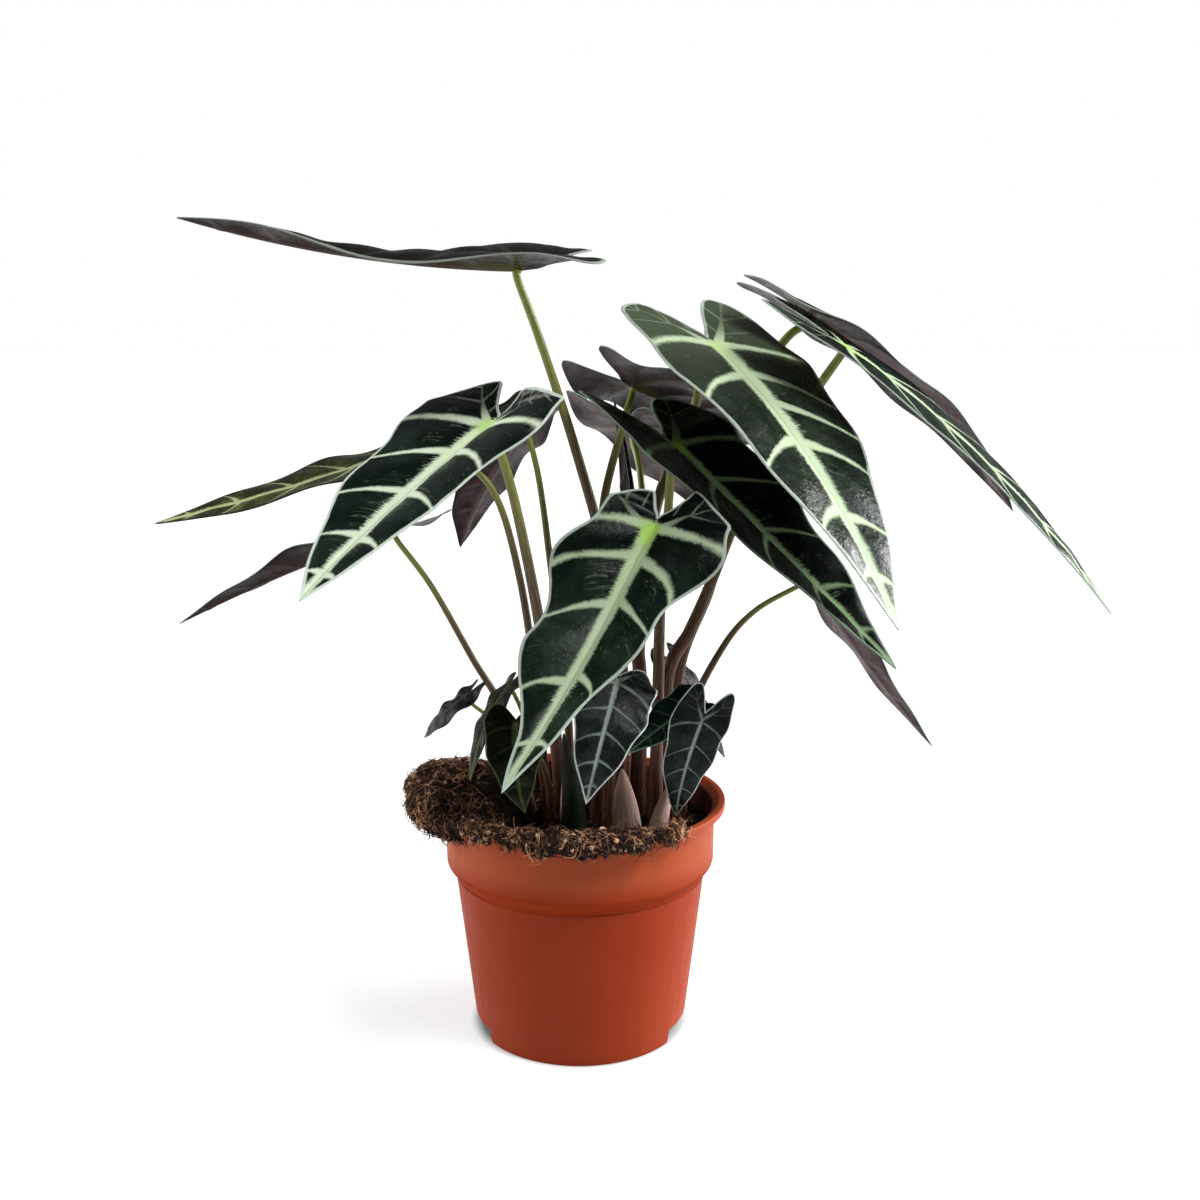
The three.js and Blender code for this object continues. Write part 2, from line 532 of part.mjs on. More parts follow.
// Height of the potting mix above its edge level at a place inside the pot
function soilHeight(x, y, random) {
  const mound = SOIL_MOUND * Math.exp(-((x - 4) ** 2 + (y - 2) ** 2) / 900);
  const frontBank = 6 * THREE.MathUtils.smoothstep(-y - 0.25 * x, 26, 50);
  const leftBank = 9 * THREE.MathUtils.smoothstep(-x, 22, 46);
  return SOIL_EDGE + mound + Math.max(frontBank, leftBank) + SOIL_ROUGHNESS * (random() - 0.5) * 2;
}

// The mix that fills the pot: its side follows the wall, its top is the rough surface
function soilFill() {
  const random = makeRandom(7);
  const floor = FLOOR_UNDERSIDE + WALL + GAP;
  const wall = (radius) => radius - WALL - GAP;
  const side = [[wall(FOOT_RADIUS) + 0.6, floor], [wall(STEP_RADIUS), STEP_FOOT + GAP],
    [wall(COLLAR_RADIUS - 0.3), COLLAR_FOOT + 2 * GAP]];
  const points = [[0, 0, floor]];
  const ringStart = [];
  const addRing = (radius, height) => {
    ringStart.push(points.length);
    for (let k = 0; k < POT_SIDES; k += 1) {
      const turn = (2 * Math.PI * k) / POT_SIDES;
      const [x, y] = [radius * Math.cos(turn), radius * Math.sin(turn)];
      points.push([x, y, height === null ? soilHeight(x, y, random) : height]);
    }
  };
  side.forEach(([radius, height]) => addRing(radius, height));
  for (let ring = SOIL_RINGS; ring > 0; ring -= 1) addRing((wall(COLLAR_RADIUS) * ring) / SOIL_RINGS, null);
  points.push([0, 0, soilHeight(0, 0, random)]);
  const last = points.length - 1;
  const index = [];
  for (let k = 0; k < POT_SIDES; k += 1) {
    const next = (k + 1) % POT_SIDES;
    index.push(0, ringStart[0] + next, ringStart[0] + k);
    for (let r = 0; r + 1 < ringStart.length; r += 1) {
      const [a, b] = [ringStart[r] + k, ringStart[r] + next];
      const [c, d] = [ringStart[r + 1] + k, ringStart[r + 1] + next];
      index.push(a, b, d, a, d, c);
    }
    const top = ringStart[ringStart.length - 1];
    index.push(top + k, top + next, last);
  }
  return solidOf(indexed(points.flat(), index));
}

// The lump of root ball that bulges over the rim on the left
function soilLump() {
  const random = makeRandom(23);
  const ball = mergeVertices(bareGeometry(new THREE.IcosahedronGeometry(1, LUMP.detail)));
  const place = ball.attributes.position;
  const [sx, sy, sz] = LUMP.size;
  for (let k = 0; k < place.count; k += 1) {
    const [x, y, z] = [place.getX(k), place.getY(k), place.getZ(k)];
    const rough = 1 + LUMP.roughness * (random() - 0.5) * 2;
    const box = 1 / Math.max(Math.abs(x) ** 3 + Math.abs(y) ** 3 + Math.abs(z) ** 3, 0.2) ** 0.18;
    place.setXYZ(k, LUMP.centre[0] + x * sx * rough * box, LUMP.centre[1] + y * sy * rough * box,
      LUMP.centre[2] + z * sz * rough * box - LUMP.lean * x * sx);
  }
  return solidOf(ball);
}

// Crumbs that lie over the front of the rim, as one ragged roll
function soilSpill() {
  const random = makeRandom(41);
  const sides = 7;
  const points = [];
  const index = [];
  for (let s = 0; s <= SPILL.steps; s += 1) {
    const part = s / SPILL.steps;
    const turn = rad(SPILL.from + (SPILL.to - SPILL.from) * part);
    const taper = Math.min(1, 5 * part + 0.35, 4 * (1 - part) + 0.15);
    for (let k = 0; k < sides; k += 1) {
      const angle = (2 * Math.PI * k) / sides;
      const size = taper * (0.72 + 0.56 * random());
      const radius = SPILL.radius + SPILL.across * size * Math.cos(angle) * (Math.cos(angle) < 0 ? 2 : 0.9);
      const height = SPILL.height + SPILL.tall * size * Math.sin(angle) * (Math.sin(angle) < 0 ? 1.5 : 1);
      points.push(radius * Math.cos(turn), radius * Math.sin(turn), height);
    }
  }
  for (let s = 0; s < SPILL.steps; s += 1) {
    for (let k = 0; k < sides; k += 1) {
      const [a, b] = [s * sides + k, s * sides + (k + 1) % sides];
      index.push(a, b + sides, b, a, a + sides, b + sides);
    }
  }
  const end = SPILL.steps * sides;
  for (let k = 1; k + 1 < sides; k += 1) index.push(0, k, k + 1, end, end + k + 1, end + k);
  return solidOf(indexed(points, index));
}

function soilSolid() {
  let soil = soilLump().add(soilSpill());
  soil = soil.subtract(solidOf(turned(potProfile(GAP), POT_SIDES)));
  soil = soil.add(soilFill());
  LEAVES.forEach((leaf) => {
    soil = soil.subtract(solidOf(stalkGeometry(leaf, GAP)));
  });
  SHEATHS.forEach((sheath) => {
    soil = soil.subtract(solidOf(sheathGeometry(sheath, GAP)));
  });
  return largestPiece(soil);
}

function matte(colour, roughness) {
  return new THREE.MeshStandardMaterial({ color: colour, roughness, metalness: 0 });
}

const plant = new THREE.Group();

function place(name, geometry, material) {
  const mesh = new THREE.Mesh(geometry, material);
  mesh.name = name;
  plant.add(mesh);
}

place('pot', geometryOf(potSolid()), matte(COLOURS.pot, 0.45));
place('soil', geometryOf(soilSolid()), matte(COLOURS.soil, 0.95));
LEAVES.forEach((leaf) => {
  place(`blade_${leaf.name}`, bladeGeometry(leaf), matte(COLOURS.blade, 0.35));
  place(`stalk_${leaf.name}`, stalkGeometry(leaf), matte(COLOURS.stalk, 0.5));
});
SHEATHS.forEach((sheath) => {
  place(sheath.name, sheathGeometry(sheath), matte(sheath.colour, 0.7));
});

export default plant;
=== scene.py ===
"""Looks of a small arrow-leaved alocasia in its nursery pot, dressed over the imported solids."""
import math

import bmesh
import bpy
import numpy as np
from mathutils import Matrix, Vector, noise


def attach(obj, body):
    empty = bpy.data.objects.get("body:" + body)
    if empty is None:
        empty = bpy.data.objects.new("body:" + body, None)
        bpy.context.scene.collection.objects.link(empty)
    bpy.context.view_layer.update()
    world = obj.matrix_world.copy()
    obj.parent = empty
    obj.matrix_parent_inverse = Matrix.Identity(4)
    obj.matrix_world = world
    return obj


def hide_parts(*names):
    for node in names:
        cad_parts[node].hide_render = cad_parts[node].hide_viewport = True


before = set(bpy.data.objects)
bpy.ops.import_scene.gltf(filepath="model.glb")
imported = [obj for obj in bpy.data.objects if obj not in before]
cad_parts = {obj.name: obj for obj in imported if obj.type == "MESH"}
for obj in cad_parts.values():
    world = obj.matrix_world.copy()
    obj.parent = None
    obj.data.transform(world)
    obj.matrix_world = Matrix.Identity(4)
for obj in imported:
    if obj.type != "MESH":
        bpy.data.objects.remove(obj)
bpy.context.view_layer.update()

# Lengths are in millimetres and become metres where a mesh is made
MM = 0.001

# Camera, fitted to the pot in the photograph
CAMERA_PLACE = (8.25, -550, 287)
CAMERA_DOWN = 10.95
CAMERA_LENS = 41.58
SENSOR = 36

# Nursery pot
POT_SIDES = 200
WALL = 1.2
LIP_RADIUS = 60
LIP_TOP = 98.2
LIP_HEIGHT = 3
LIP_BAND = 2.6
COLLAR_RADIUS = 55.6
COLLAR_FOOT = 73
STEP_FOOT = 67
STEP_RADIUS = 51.7
FOOT_RADIUS = 43.8
FLOOR_UNDERSIDE = 4.2
CENTRE_PAD_RADIUS = 10
NOTCH_HEIGHT = 6
NOTCH_HALF_ANGLE = 17
NOTCH_ANGLES = (-162, -18, -234, 54)
NOTCH_REACH = 14
DRAIN_RADIUS = 3.5
DRAIN_RING = 26
DRAIN_COUNT = 4
MOULDED_EDGE = 0.6

# Potting mix
MIX_CLEARANCE = 0.2
SOIL_EDGE = 85
SOIL_MOUND = 5
LUMP_CENTRE = (-47, -3, 97)
LUMP_SIZE = (24, 31, 12.5)
LUMP_LEAN = 0.16
SPILL_FROM = 198
SPILL_TO = 314
SPILL_RADIUS = 58.2
SPILL_HEIGHT = 98.4
SPILL_ACROSS = 6.2
SPILL_TALL = 3.6
SPILL_DIP = 0.4
CRUMB_COUNT = 5600
CRUMB_SIZE = (0.3, 0.95)
FIBRE_COUNT = 3200
FIBRE_HANG = 1.4
FIBRE_LENGTH = (4, 14)
FIBRE_RADIUS = 0.19
FIBRE_CURL = 1.3

# Each body of mix, with its share of the crumbs and of the strands
MIX_SHARES = {"mix_bed": (0.3, 0.14), "mix_lump": (0.25, 0.54), "mix_spill": (0.45, 0.32)}

# Leaf blades
SKIN = 0.5
KEEL_DEPTH = 1.4
KEEL_WIDTH = 75
QUILT = 1.0
VEIN_SWEEP = 0.45
VEIN_RAMP = 0.12
VEIN_BOW = 0.15
VEIN_CURL = 0.02
LOBE_END = -0.31
LOBE_GAP = 0.0008
SINUS = -0.06
BLADE_END = 0.997
FIRST_VEIN_GAP = 0.11
SMALL_BLADE_WIDTH = 42
USUAL_WIDTH = 68
LARGE_GRID = (26, 104, 22)
SMALL_GRID = (14, 60, 12)

# Leaf stalks
STALK_SUNK = 78
STALK_APPROACH = 5
STALK_SIDES = 14
STALK_STEP = 2.5

# Light: strength of the surroundings on the plant, and soft suns: strength, spread and direction, as
# degrees to the right of the front and degrees up
WORLD_LIGHT = 0.2
SUNS = (("key", 4.2, 22, 58, 55), ("rim_right", 7.3, 40, 108, 14),
        ("rim_left", 4.4, 40, -102, 12))

# Floor
FLOOR_RADIUS = 20000
FLOOR_SIDES = 96
FLOOR_RINGS = 11
FLOOR_DROP = 0.05
FLOOR_GLOW = 0.72

# Half of a blade laid flat: (place along the midrib, distance from it), both as parts of the length from
# the stalk to the tip. The outer line is the margin, the inner one the edge of the cleft.
OUTER_LINE = (
    (-0.31, 0.19), (-0.298, 0.222), (-0.27, 0.255), (-0.22, 0.283), (-0.14, 0.305), (-0.04, 0.315),
    (0.07, 0.318), (0.17, 0.312), (0.29, 0.29), (0.42, 0.258), (0.56, 0.215), (0.7, 0.158),
    (0.82, 0.098), (0.91, 0.05), (0.97, 0.017), (1, 0),
)
INNER_LINE = (
    (-0.31, 0.19), (-0.298, 0.158), (-0.27, 0.13), (-0.2, 0.08), (-0.12, 0.035), (-0.06, 0), (1, 0),
)
WIDEST = 0.318

# Places at which a leaf's own breadth, against the usual outline, is given for its two halves
BREADTH_PLACES = (-0.31, -0.05, 0.2, 0.5, 0.8)

# Where the side veins leave the midrib, on the left and on the right half, seen from the stalk
LARGE_VEINS = ((0.0, 0.12, 0.3, 0.5, 0.7, 0.87), (0.01, 0.14, 0.33, 0.52, 0.71, 0.88))
SMALL_VEINS = ((0.02, 0.22, 0.44, 0.66, 0.85), (0.03, 0.25, 0.46, 0.68, 0.86))
OWN_VEINS = {
    "upper_right": ((-0.01, 0.13, 0.27, 0.43, 0.68, 0.86), (-0.01, 0.15, 0.42, 0.66, 0.84)),
    "centre_front": ((-0.02, 0.09, 0.24, 0.53, 0.8), (-0.02, 0.08, 0.26, 0.56, 0.8)),
    "dark_right": ((-0.01, 0.16, 0.4, 0.66, 0.84), (0.0, 0.18, 0.42, 0.64, 0.84)),
    "left": ((0.01, 0.17, 0.42, 0.68, 0.87), (0.0, 0.17, 0.41, 0.66, 0.86)),
}

# The vein of a lobe: a bend from the heart to near the lobe's end, and its branches, as parts of its length
LOBE_VEIN = ((0, 0), (-0.09, 0.075), (-0.275, 0.187))
LOBE_BRANCHES = 3

# Each leaf: where its stalk meets the blade (heart) and where it ends (tip), the way its top face looks
# (degrees to the right of the front, degrees up), how far the midrib arches towards that face and to the
# side, its turn along the length, full width, rise of the left and right halves in degrees, droop of the
# halves, length of the two lobes against the full one, lift of the lobes, margin wave and scallop, breadth
# of the two halves, and the stalk: foot on the soil, radius at the foot and at the blade, and the points it
# passes through. What a leaf doesn't give is as in USUAL_LEAF.
USUAL_LEAF = {"lobes": (0.75, 0.75), "droop": 0, "lift": 0, "beats": 2.5, "scallop": 0.05,
              "breadth": ((1, 1, 1, 1, 1), (1, 1, 1, 1, 1))}


def new_leaf(name, **measures):
    """A leaf with its own measures, and the usual ones where it gives none."""
    return {"name": name, **USUAL_LEAF, **measures}


LEAVES = (
    new_leaf("upper_right", heart=(55, 11, 281), tip=(112, -80, 185), faces=(34, 45), arch=9.5, aside=1.5,
        twist=-6, width=80, rise=(2, 11), droop=0.07, lobes=(1, 0.5), lift=2, wave=0.8, phase=(0, 3),
        foot=(24, 6), thick=(3.6, 1.7),
        stalk=((25, 9, 140), (24, 18, 166), (29, 31, 201), (37, 40, 229), (48, 42, 255), (50, 36, 265))),
    new_leaf("dark_right", heart=(39, 3, 242), tip=(121, -38, 161), faces=(43, 57), arch=3.5, aside=5,
        twist=-2, width=71, rise=(9, 15), lobes=(0.88, 0.98), lift=-6, wave=0.7, phase=(2, -1.5),
        scallop=0.09, foot=(31, -2), thick=(3.3, 1.6), stalk=((32, 0, 140), (33, 6, 180), (36, 10, 216))),
    new_leaf("centre_front", heart=(26.5, -50, 215), tip=(-23.5, -125, 141.5), faces=(-10, 45), arch=-8,
        aside=1, twist=20, width=64, rise=(22, 24), lobes=(0.5, 0.32), lift=-8, wave=-3,
        phase=(-0.84, -2.97), scallop=0.12,
        breadth=((0.48, 1.08, 1, 0.84, 0.94), (0.4, 0.64, 0.84, 0.91, 0.64)), foot=(7, -9),
        thick=(3.3, 1.6), stalk=((10, -13, 130), (15, -23, 165), (21, -41, 195))),
    new_leaf("left", heart=(-35, -9, 251), tip=(-93, -93, 198), faces=(-59, 39), arch=1, aside=4, twist=-20,
        width=68, rise=(5, 31), droop=0.1, lobes=(0.25, 0.6), lift=3.6, wave=-0.15, phase=(-1.7, -1.3),
        breadth=((0.72, 1.3, 1.19, 1, 1.1), (0.72, 1.3, 1, 0.96, 0.89)), foot=(-7, 2), thick=(3.6, 1.7),
        stalk=((-12, 3, 138), (-18, 2, 180), (-26, -1, 222))),
    new_leaf("top_left", heart=(-24, 8, 312), tip=(-154, -2, 330), faces=(0, 89), arch=-4.5, aside=0,
        twist=10, width=74, rise=(19, 30), droop=0.38, lobes=(0.75, 0.69), wave=6, beats=1,
        phase=(1.8, 1.5), scallop=0.02, foot=(16, 4), thick=(3.3, 1.5),
        stalk=((18, 5, 140), (12, 6, 190), (-2, 8, 242), (-16, 9, 285))),
    new_leaf("far_right_back", heart=(98, 53, 294), tip=(191, 59, 209), faces=(104, 63), arch=5.5,
        aside=4.5, twist=-17, width=56, rise=(11, 6), droop=0.18, lobes=(0.84, 0.75), lift=-2, wave=1.7,
        phase=(-1.9, -0.8), foot=(36, 18), thick=(3.3, 1.6),
        stalk=((42, 22, 148), (57, 34, 187), (59, 44, 241), (85, 50, 281))),
    new_leaf("far_right", heart=(107, 14, 281), tip=(207, -23, 179), faces=(92, 46), arch=7, aside=-1,
        twist=3, width=58, rise=(15, -15), wave=0.5, phase=(-1.7, 0.5), foot=(38, 8), thick=(3.6, 1.7),
        stalk=((36, 12, 143), (46, 18, 164), (54, 24, 181), (75, 33, 230), (97, 20, 265))),
    new_leaf("lower_right", heart=(97, 30, 184), tip=(152, 26, 111), faces=(115, 58), arch=-1, aside=-2,
        twist=-5, width=36, rise=(6, 7), droop=0.03, wave=1.8, phase=(0.7, 0.2), foot=(41, 15),
        thick=(2.2, 1), stalk=((46, 15, 128), (60, 21, 156), (74, 26, 171))),
    new_leaf("left_olive", heart=(-58, 17, 245), tip=(-169, -3, 212), faces=(-21, 85), arch=-1.2, aside=-6,
        twist=-16, width=45, rise=(6, 2), wave=2, phase=(0.4, 1.2), scallop=0.06, foot=(-14, 8),
        thick=(2.4, 1.2), stalk=((-18, 8, 140), (-25, 9, 190), (-36, 11, 225))),
    new_leaf("left_purple", heart=(-77, 20, 206), tip=(-165, 8, 169), faces=(-158, 68), arch=2, aside=1,
        twist=-1, width=38, rise=(14, 15), wave=2.5, phase=(0.5, 0.7), foot=(-21, 11), thick=(2.2, 1.1),
        stalk=((-31, 12, 128), (-45, 14, 153), (-62, 18, 183))),
    new_leaf("hanging_purple", heart=(-24, 33, 247), tip=(-54, 59, 193), faces=(-139, 46), arch=1,
        aside=-2.5, twist=4, width=40, rise=(11, 12), wave=2.3, phase=(1.4, 3.5), foot=(-4, 15),
        thick=(2.4, 1.1), stalk=((-6, 16, 140), (-12, 22, 188), (-17, 28, 225))),
    new_leaf("centre_back", heart=(23, 60, 264), tip=(98, 111, 231), faces=(156, 72), arch=-1, aside=2,
        twist=-7, width=62, rise=(4, 6), droop=0.13, lobes=(0.9, 0.98), lift=3, wave=2.6, phase=(0.2, 1.5),
        foot=(10, 13), thick=(2.8, 1.4),
        stalk=((13, 14, 161), (10, 19, 194), (10, 26, 218), (18, 35, 249))),
    new_leaf("centre_back_low", heart=(24, 66, 245), tip=(78, 109, 194), faces=(149, 60), arch=3, aside=-3,
        twist=-18, width=60, rise=(7, 5), lobes=(1, 0.75), wave=2.3, phase=(-0.6, 1.5), scallop=0.07,
        foot=(23, 28), thick=(2.6, 1.3), stalk=((25, 30, 140), (28, 42, 190), (26, 54, 225))),
    new_leaf("young_front", heart=(15, -40, 157), tip=(3, -60, 115), faces=(13, 12), arch=7, aside=2,
        twist=7, width=32, rise=(7, 11), droop=0.09, lift=-2, wave=1.8, phase=(1.8, 1.3), foot=(12, -16),
        thick=(1.7, 0.9), stalk=((13, -18, 115), (14, -26, 138))),
    new_leaf("young_right", heart=(47, -44, 143), tip=(38, -34, 101), faces=(13, 10), arch=3, aside=2.5,
        twist=-3, width=22, rise=(10, -1), droop=0.15, lobes=(0.91, 0.8), lift=1, wave=1.2,
        phase=(1.5, 4.5), scallop=0.04, foot=(34, -7), thick=(1.7, 0.9),
        stalk=((37, -11, 108), (43, -24, 130))),
    new_leaf("young_between", heart=(44, -15, 140), tip=(19, -30, 125), faces=(-16, 49), arch=0, aside=0.5,
        twist=3, width=20, rise=(8, 10), wave=1.2, phase=(1, 2.6), scallop=0.04, foot=(42, -4),
        thick=(1.6, 0.8), stalk=((45, -6, 112), (46, -12, 130))),
    new_leaf("young_back_right", heart=(42, 41, 142), tip=(64, 45, 100), faces=(38, 45), arch=3.5,
        aside=2.5, twist=0, width=20, rise=(-5, 0), droop=0.13, wave=1.2, phase=(-1.3, 1.5), scallop=0.04,
        foot=(31, 29), thick=(1.6, 0.8), stalk=((32, 32, 115), (35, 37, 132))),
    new_leaf("young_left", heart=(-46, -8, 143), tip=(-64, -1, 123), faces=(-58, 44), arch=3, aside=-3.5,
        twist=0, width=15, rise=(2, 2), droop=0.12, lift=1, wave=1, phase=(-1.4, 2), scallop=0.04,
        foot=(-20, 2), thick=(1.4, 0.7), stalk=((-26, 0, 112), (-36, -4, 131))),
    new_leaf("drooping_grey", heart=(-28, -19, 150), tip=(-41, -48, 120), faces=(-51, 32), arch=4, aside=-1,
        twist=-1, width=14, rise=(2, 2), droop=0.14, wave=1, phase=(-0.7, 0.1), scallop=0.04,
        foot=(-14, -4), thick=(1.5, 0.8), stalk=((-16, -6, 112), (-22, -11, 134))),
    new_leaf("behind_tip", heart=(-24, -40, 140), tip=(-20, -50, 108), faces=(-6, 20), arch=4, aside=1,
        twist=0, width=24, rise=(5, 11), droop=0.05, lobes=(0.75, 0.63), lift=-1, wave=1, phase=(0.6, 1.1),
        foot=(-11, -12), thick=(1.6, 0.9), stalk=((-13, -14, 110), (-19, -20, 126))),
    new_leaf("rolled", heart=(18, 39, 192), tip=(14, 45, 260), faces=(80, 20), arch=1.5, aside=-2,
        twist=-10, width=15, rise=(50, 50), lobes=(0.38, 0.38), wave=0, phase=(0, 0), scallop=0.02,
        foot=(14, 23), thick=(2.2, 1.2), stalk=((14, 25, 140), (15, 31, 175))),
)

# Sheaths and a rolled leaf at the feet of the stalks: foot, the way they look, height, width, lean
SHEATHS = [
    {"name": "sheath_centre", "foot": [19, -15], "looks": 4, "height": 30, "width": 15, "lean": -2},
    {"name": "sheath_right", "foot": [32, -16], "looks": 25, "height": 26, "width": 11, "lean": 6},
    {"name": "sheath_left", "foot": [-4, -12], "looks": -20, "height": 24, "width": 12, "lean": -2},
    {"name": "sheath_back", "foot": [6, 21], "looks": 175, "height": 24, "width": 13, "lean": 2},
    {"name": "green_spear", "foot": [-2, -20], "looks": -6, "height": 46, "width": 11, "lean": -4},
]

# Finish of the top face of the blades, with colours from 0 to 255 as the photograph shows them: ground, its
# lighter parts, lobes, veins, heart, margin; how strongly the side veins show, how wide all veins are, and
# how much the face shines
# The lobe colour, laid over the ground towards the lobes, is painted shade, and on the wet finish painted
# light.
BLADE_FINISHES = {
    "deep": ((10, 18, 13), (28, 43, 32), (4, 7, 6), (152, 168, 138), (138, 174, 74), (140, 152, 142), 0.88,
             1.0, 0.04),
    "bright": ((9, 17, 13), (24, 37, 30), (6, 10, 8), (184, 196, 172), (160, 190, 112), (168, 180, 170),
               0.92, 1.05, 0.06),
    "wet": ((9, 17, 11), (28, 40, 28), (52, 62, 44), (160, 178, 146), (156, 178, 124), (150, 162, 150),
            0.94, 1.12, 0.16),
    # dark: a near-black copy of deep, partly the leaf's own colour and partly painted shade
    "dark": ((2, 4, 3), (6, 11, 7), (2, 3, 2), (108, 132, 96), (120, 158, 62), (92, 106, 90), 0.55, 0.7,
             0.02),
    "ink": ((8, 6, 6), (20, 16, 14), (8, 6, 6), (60, 58, 50), (70, 76, 44), (120, 128, 120), 0.3, 0.7,
            0.05),
    "olive": ((24, 30, 13), (76, 82, 42), (24, 30, 13), (160, 168, 124), (122, 140, 68), (34, 34, 28), 0.75,
              0.9, 0.1),
    "silver": ((9, 12, 12), (30, 38, 37), (5, 7, 7), (128, 140, 134), (92, 106, 90), (160, 168, 163), 0.5,
               0.5, 0.08),
    "green": ((10, 24, 17), (22, 42, 31), (8, 18, 13), (82, 104, 88), (90, 114, 76), (104, 122, 108), 0.6,
              0.6, 0.06),
    "shade": ((7, 11, 5), (24, 31, 13), (7, 11, 5), (58, 68, 36), (84, 96, 54), (66, 76, 48), 0.3, 0.8,
              0.06),
    "purple": ((13, 10, 11), (28, 23, 24), (8, 6, 7), (50, 44, 45), (60, 56, 50), (54, 48, 50), 0.4, 1.0,
               0.08),
    "dull": ((20, 23, 13), (40, 44, 27), (20, 23, 13), (62, 66, 46), (66, 70, 46), (76, 80, 60), 0.4, 0.8,
             0.08),
}
FINISH_OF = {
    "upper_right": "wet", "left": "bright", "top_left": "ink", "dark_right": "dark", "left_olive": "olive",
    "young_front": "silver", "young_right": "silver", "young_between": "green", "young_left": "purple",
    "drooping_grey": "dull", "rolled": "dark", "behind_tip": "shade", "young_back_right": "purple",
}

# Finish of the undersides: ground, its lighter parts, veins, heart; how wide all veins are
UNDERSIDES = {
    "purple": ((32, 23, 25), (74, 58, 61), (94, 77, 75), (96, 98, 52), 1.0),
    # black: a near-black copy of the underside, partly the leaf's own colour and partly painted shade
    "black": ((2, 3, 2), (4, 7, 4), (70, 90, 60), (104, 138, 52), 0.7),
    "night": ((14, 7, 8), (46, 27, 28), (58, 40, 38), (84, 88, 46), 1.0),
}
UNDERSIDE_OF = {"dark_right": "black", "top_left": "night", "far_right": "night", "rolled": "night",
                "left_purple": "night"}

# Colours of the other pieces
STALK_TOP = (114, 124, 50)
STALK_MIDDLE = (68, 52, 29)
STALK_FOOT = (86, 48, 34)
STALK_MOTTLE = (46, 26, 18)
STALK_STREAK = (160, 146, 112)
SHEATH_COLOURS = ((226, 198, 182), (168, 132, 116))
SPEAR_COLOURS = ((26, 44, 26), (9, 17, 11))
POT_COLOUR = (123, 38, 5)
POT_WORN = (140, 56, 24)
# Lighter collar colour: partly the plastic's tone, partly painted light
POT_COLLAR_TONE_AND_LIGHT = (150, 70, 40)
# Painted shade on the pot: inside it above the collar's foot, and along the step
POT_PAINTED_SHADE = (38, 14, 9)
POT_DUST = (128, 94, 70)
CRUMB_COLOURS = ((34, 22, 16), (190, 152, 122))
# The first mix colour lies in the hollows of the mix's bump: partly the peat's tone, partly painted shade
MIX_COLOURS = ((14, 9, 7), (38, 25, 18), (92, 64, 48))
FIBRE_COLOURS = ((40, 24, 16), (196, 144, 106))
FLOOR_COLOURS = ((146, 146, 146), (152, 152, 152))


def smoothstep(value, low, high):
    part = np.clip((value - low) / (high - low), 0, 1)
    return part * part * (3 - 2 * part)


def unit(vectors):
    vectors = np.asarray(vectors, float)
    return vectors / np.maximum(np.linalg.norm(vectors, axis=-1, keepdims=True), 1e-12)


def dot(a, b):
    return np.sum(a * b, axis=-1, keepdims=True)


def smooth_line(line, places):
    """Value of a line of points at each place, as a smooth curve that doesn't overshoot its points."""
    x, y = np.array(line, float).T
    width = np.diff(x)
    slope = np.diff(y) / width
    inner = slope[:-1] * slope[1:]
    mean = np.where(inner > 0, 2 * inner / np.where(inner > 0, slope[:-1] + slope[1:], 1), 0)
    tangent = np.concatenate([[slope[0]], mean, [slope[-1]]])
    k = np.clip(np.searchsorted(x, places) - 1, 0, len(x) - 2)
    part = np.clip((places - x[k]) / width[k], 0, 1)
    square, cube = part ** 2, part ** 3
    return (y[k] * (2 * cube - 3 * square + 1) + y[k + 1] * (3 * square - 2 * cube)
            + width[k] * (tangent[k] * (cube - 2 * square + part) + tangent[k + 1] * (cube - square)))


def linear(colour):
    """A colour of the photograph, 0 to 255, as the linear colour that the shaders take."""
    parts = np.array(colour, float) / 255
    values = np.where(parts <= 0.04045, parts / 12.92, ((parts + 0.055) / 1.055) ** 2.4)
    return (*values.tolist(), 1.0)


def noise_at(points, scale, seed=0, octaves=3):
    """Smooth noise between about -1 and 1 at each point."""
    shift = Vector((seed * 17.3, seed * 7.1, seed * 3.7))
    return np.array([noise.fractal(Vector(p) * scale + shift, 1.0, 2.0, octaves) for p in points])


def grid_faces(numbers, wrap=False):
    """Faces of a grid of vertex numbers, anticlockwise seen with rows going up and columns to the right."""
    below, above = numbers[:-1], numbers[1:]
    if wrap:
        right = np.roll(numbers, -1, axis=1)
        return np.stack([below, right[:-1], right[1:], above], axis=-1).reshape(-1, 4)
    corners = [below[:, :-1], below[:, 1:], above[:, 1:], above[:, :-1]]
    return np.stack(corners, axis=-1).reshape(-1, 4)


def capped_faces(numbers, first, last):
    """Faces of a grid that runs round, with a fan of triangles from a point to each of its two ends."""
    faces = grid_faces(numbers, wrap=True).tolist()
    for k in range(numbers.shape[1]):
        after = (k + 1) % numbers.shape[1]
        faces.append([first, numbers[0][after], numbers[0][k]])
        faces.append([last, numbers[-1][k], numbers[-1][after]])
    return faces


def open_edges(faces):
    """Directed edges that only one face uses."""
    start = faces.ravel()
    end = np.roll(faces, -1, axis=1).ravel()
    step = faces.max() + 1
    return np.stack([start, end], axis=1)[~np.isin(start * step + end, end * step + start)]


def skin_faces(front, total):
    """Faces of a closed skin: its front, walls at the front's open edges, and its back, whose points are
    numbered from total on."""
    start, end = open_edges(front).T
    wall = np.stack([start, start + total, end + total, end], axis=1)
    return np.concatenate([front, wall, front[:, ::-1] + total])


def ball_shape(subdivisions):
    """Points and faces of a ball of radius 1."""
    shape = bmesh.new()
    bmesh.ops.create_icosphere(shape, subdivisions=subdivisions, radius=1)
    points = np.array([point.co for point in shape.verts])
    faces = np.array([[point.index for point in face.verts] for face in shape.faces])
    shape.free()
    return points, faces


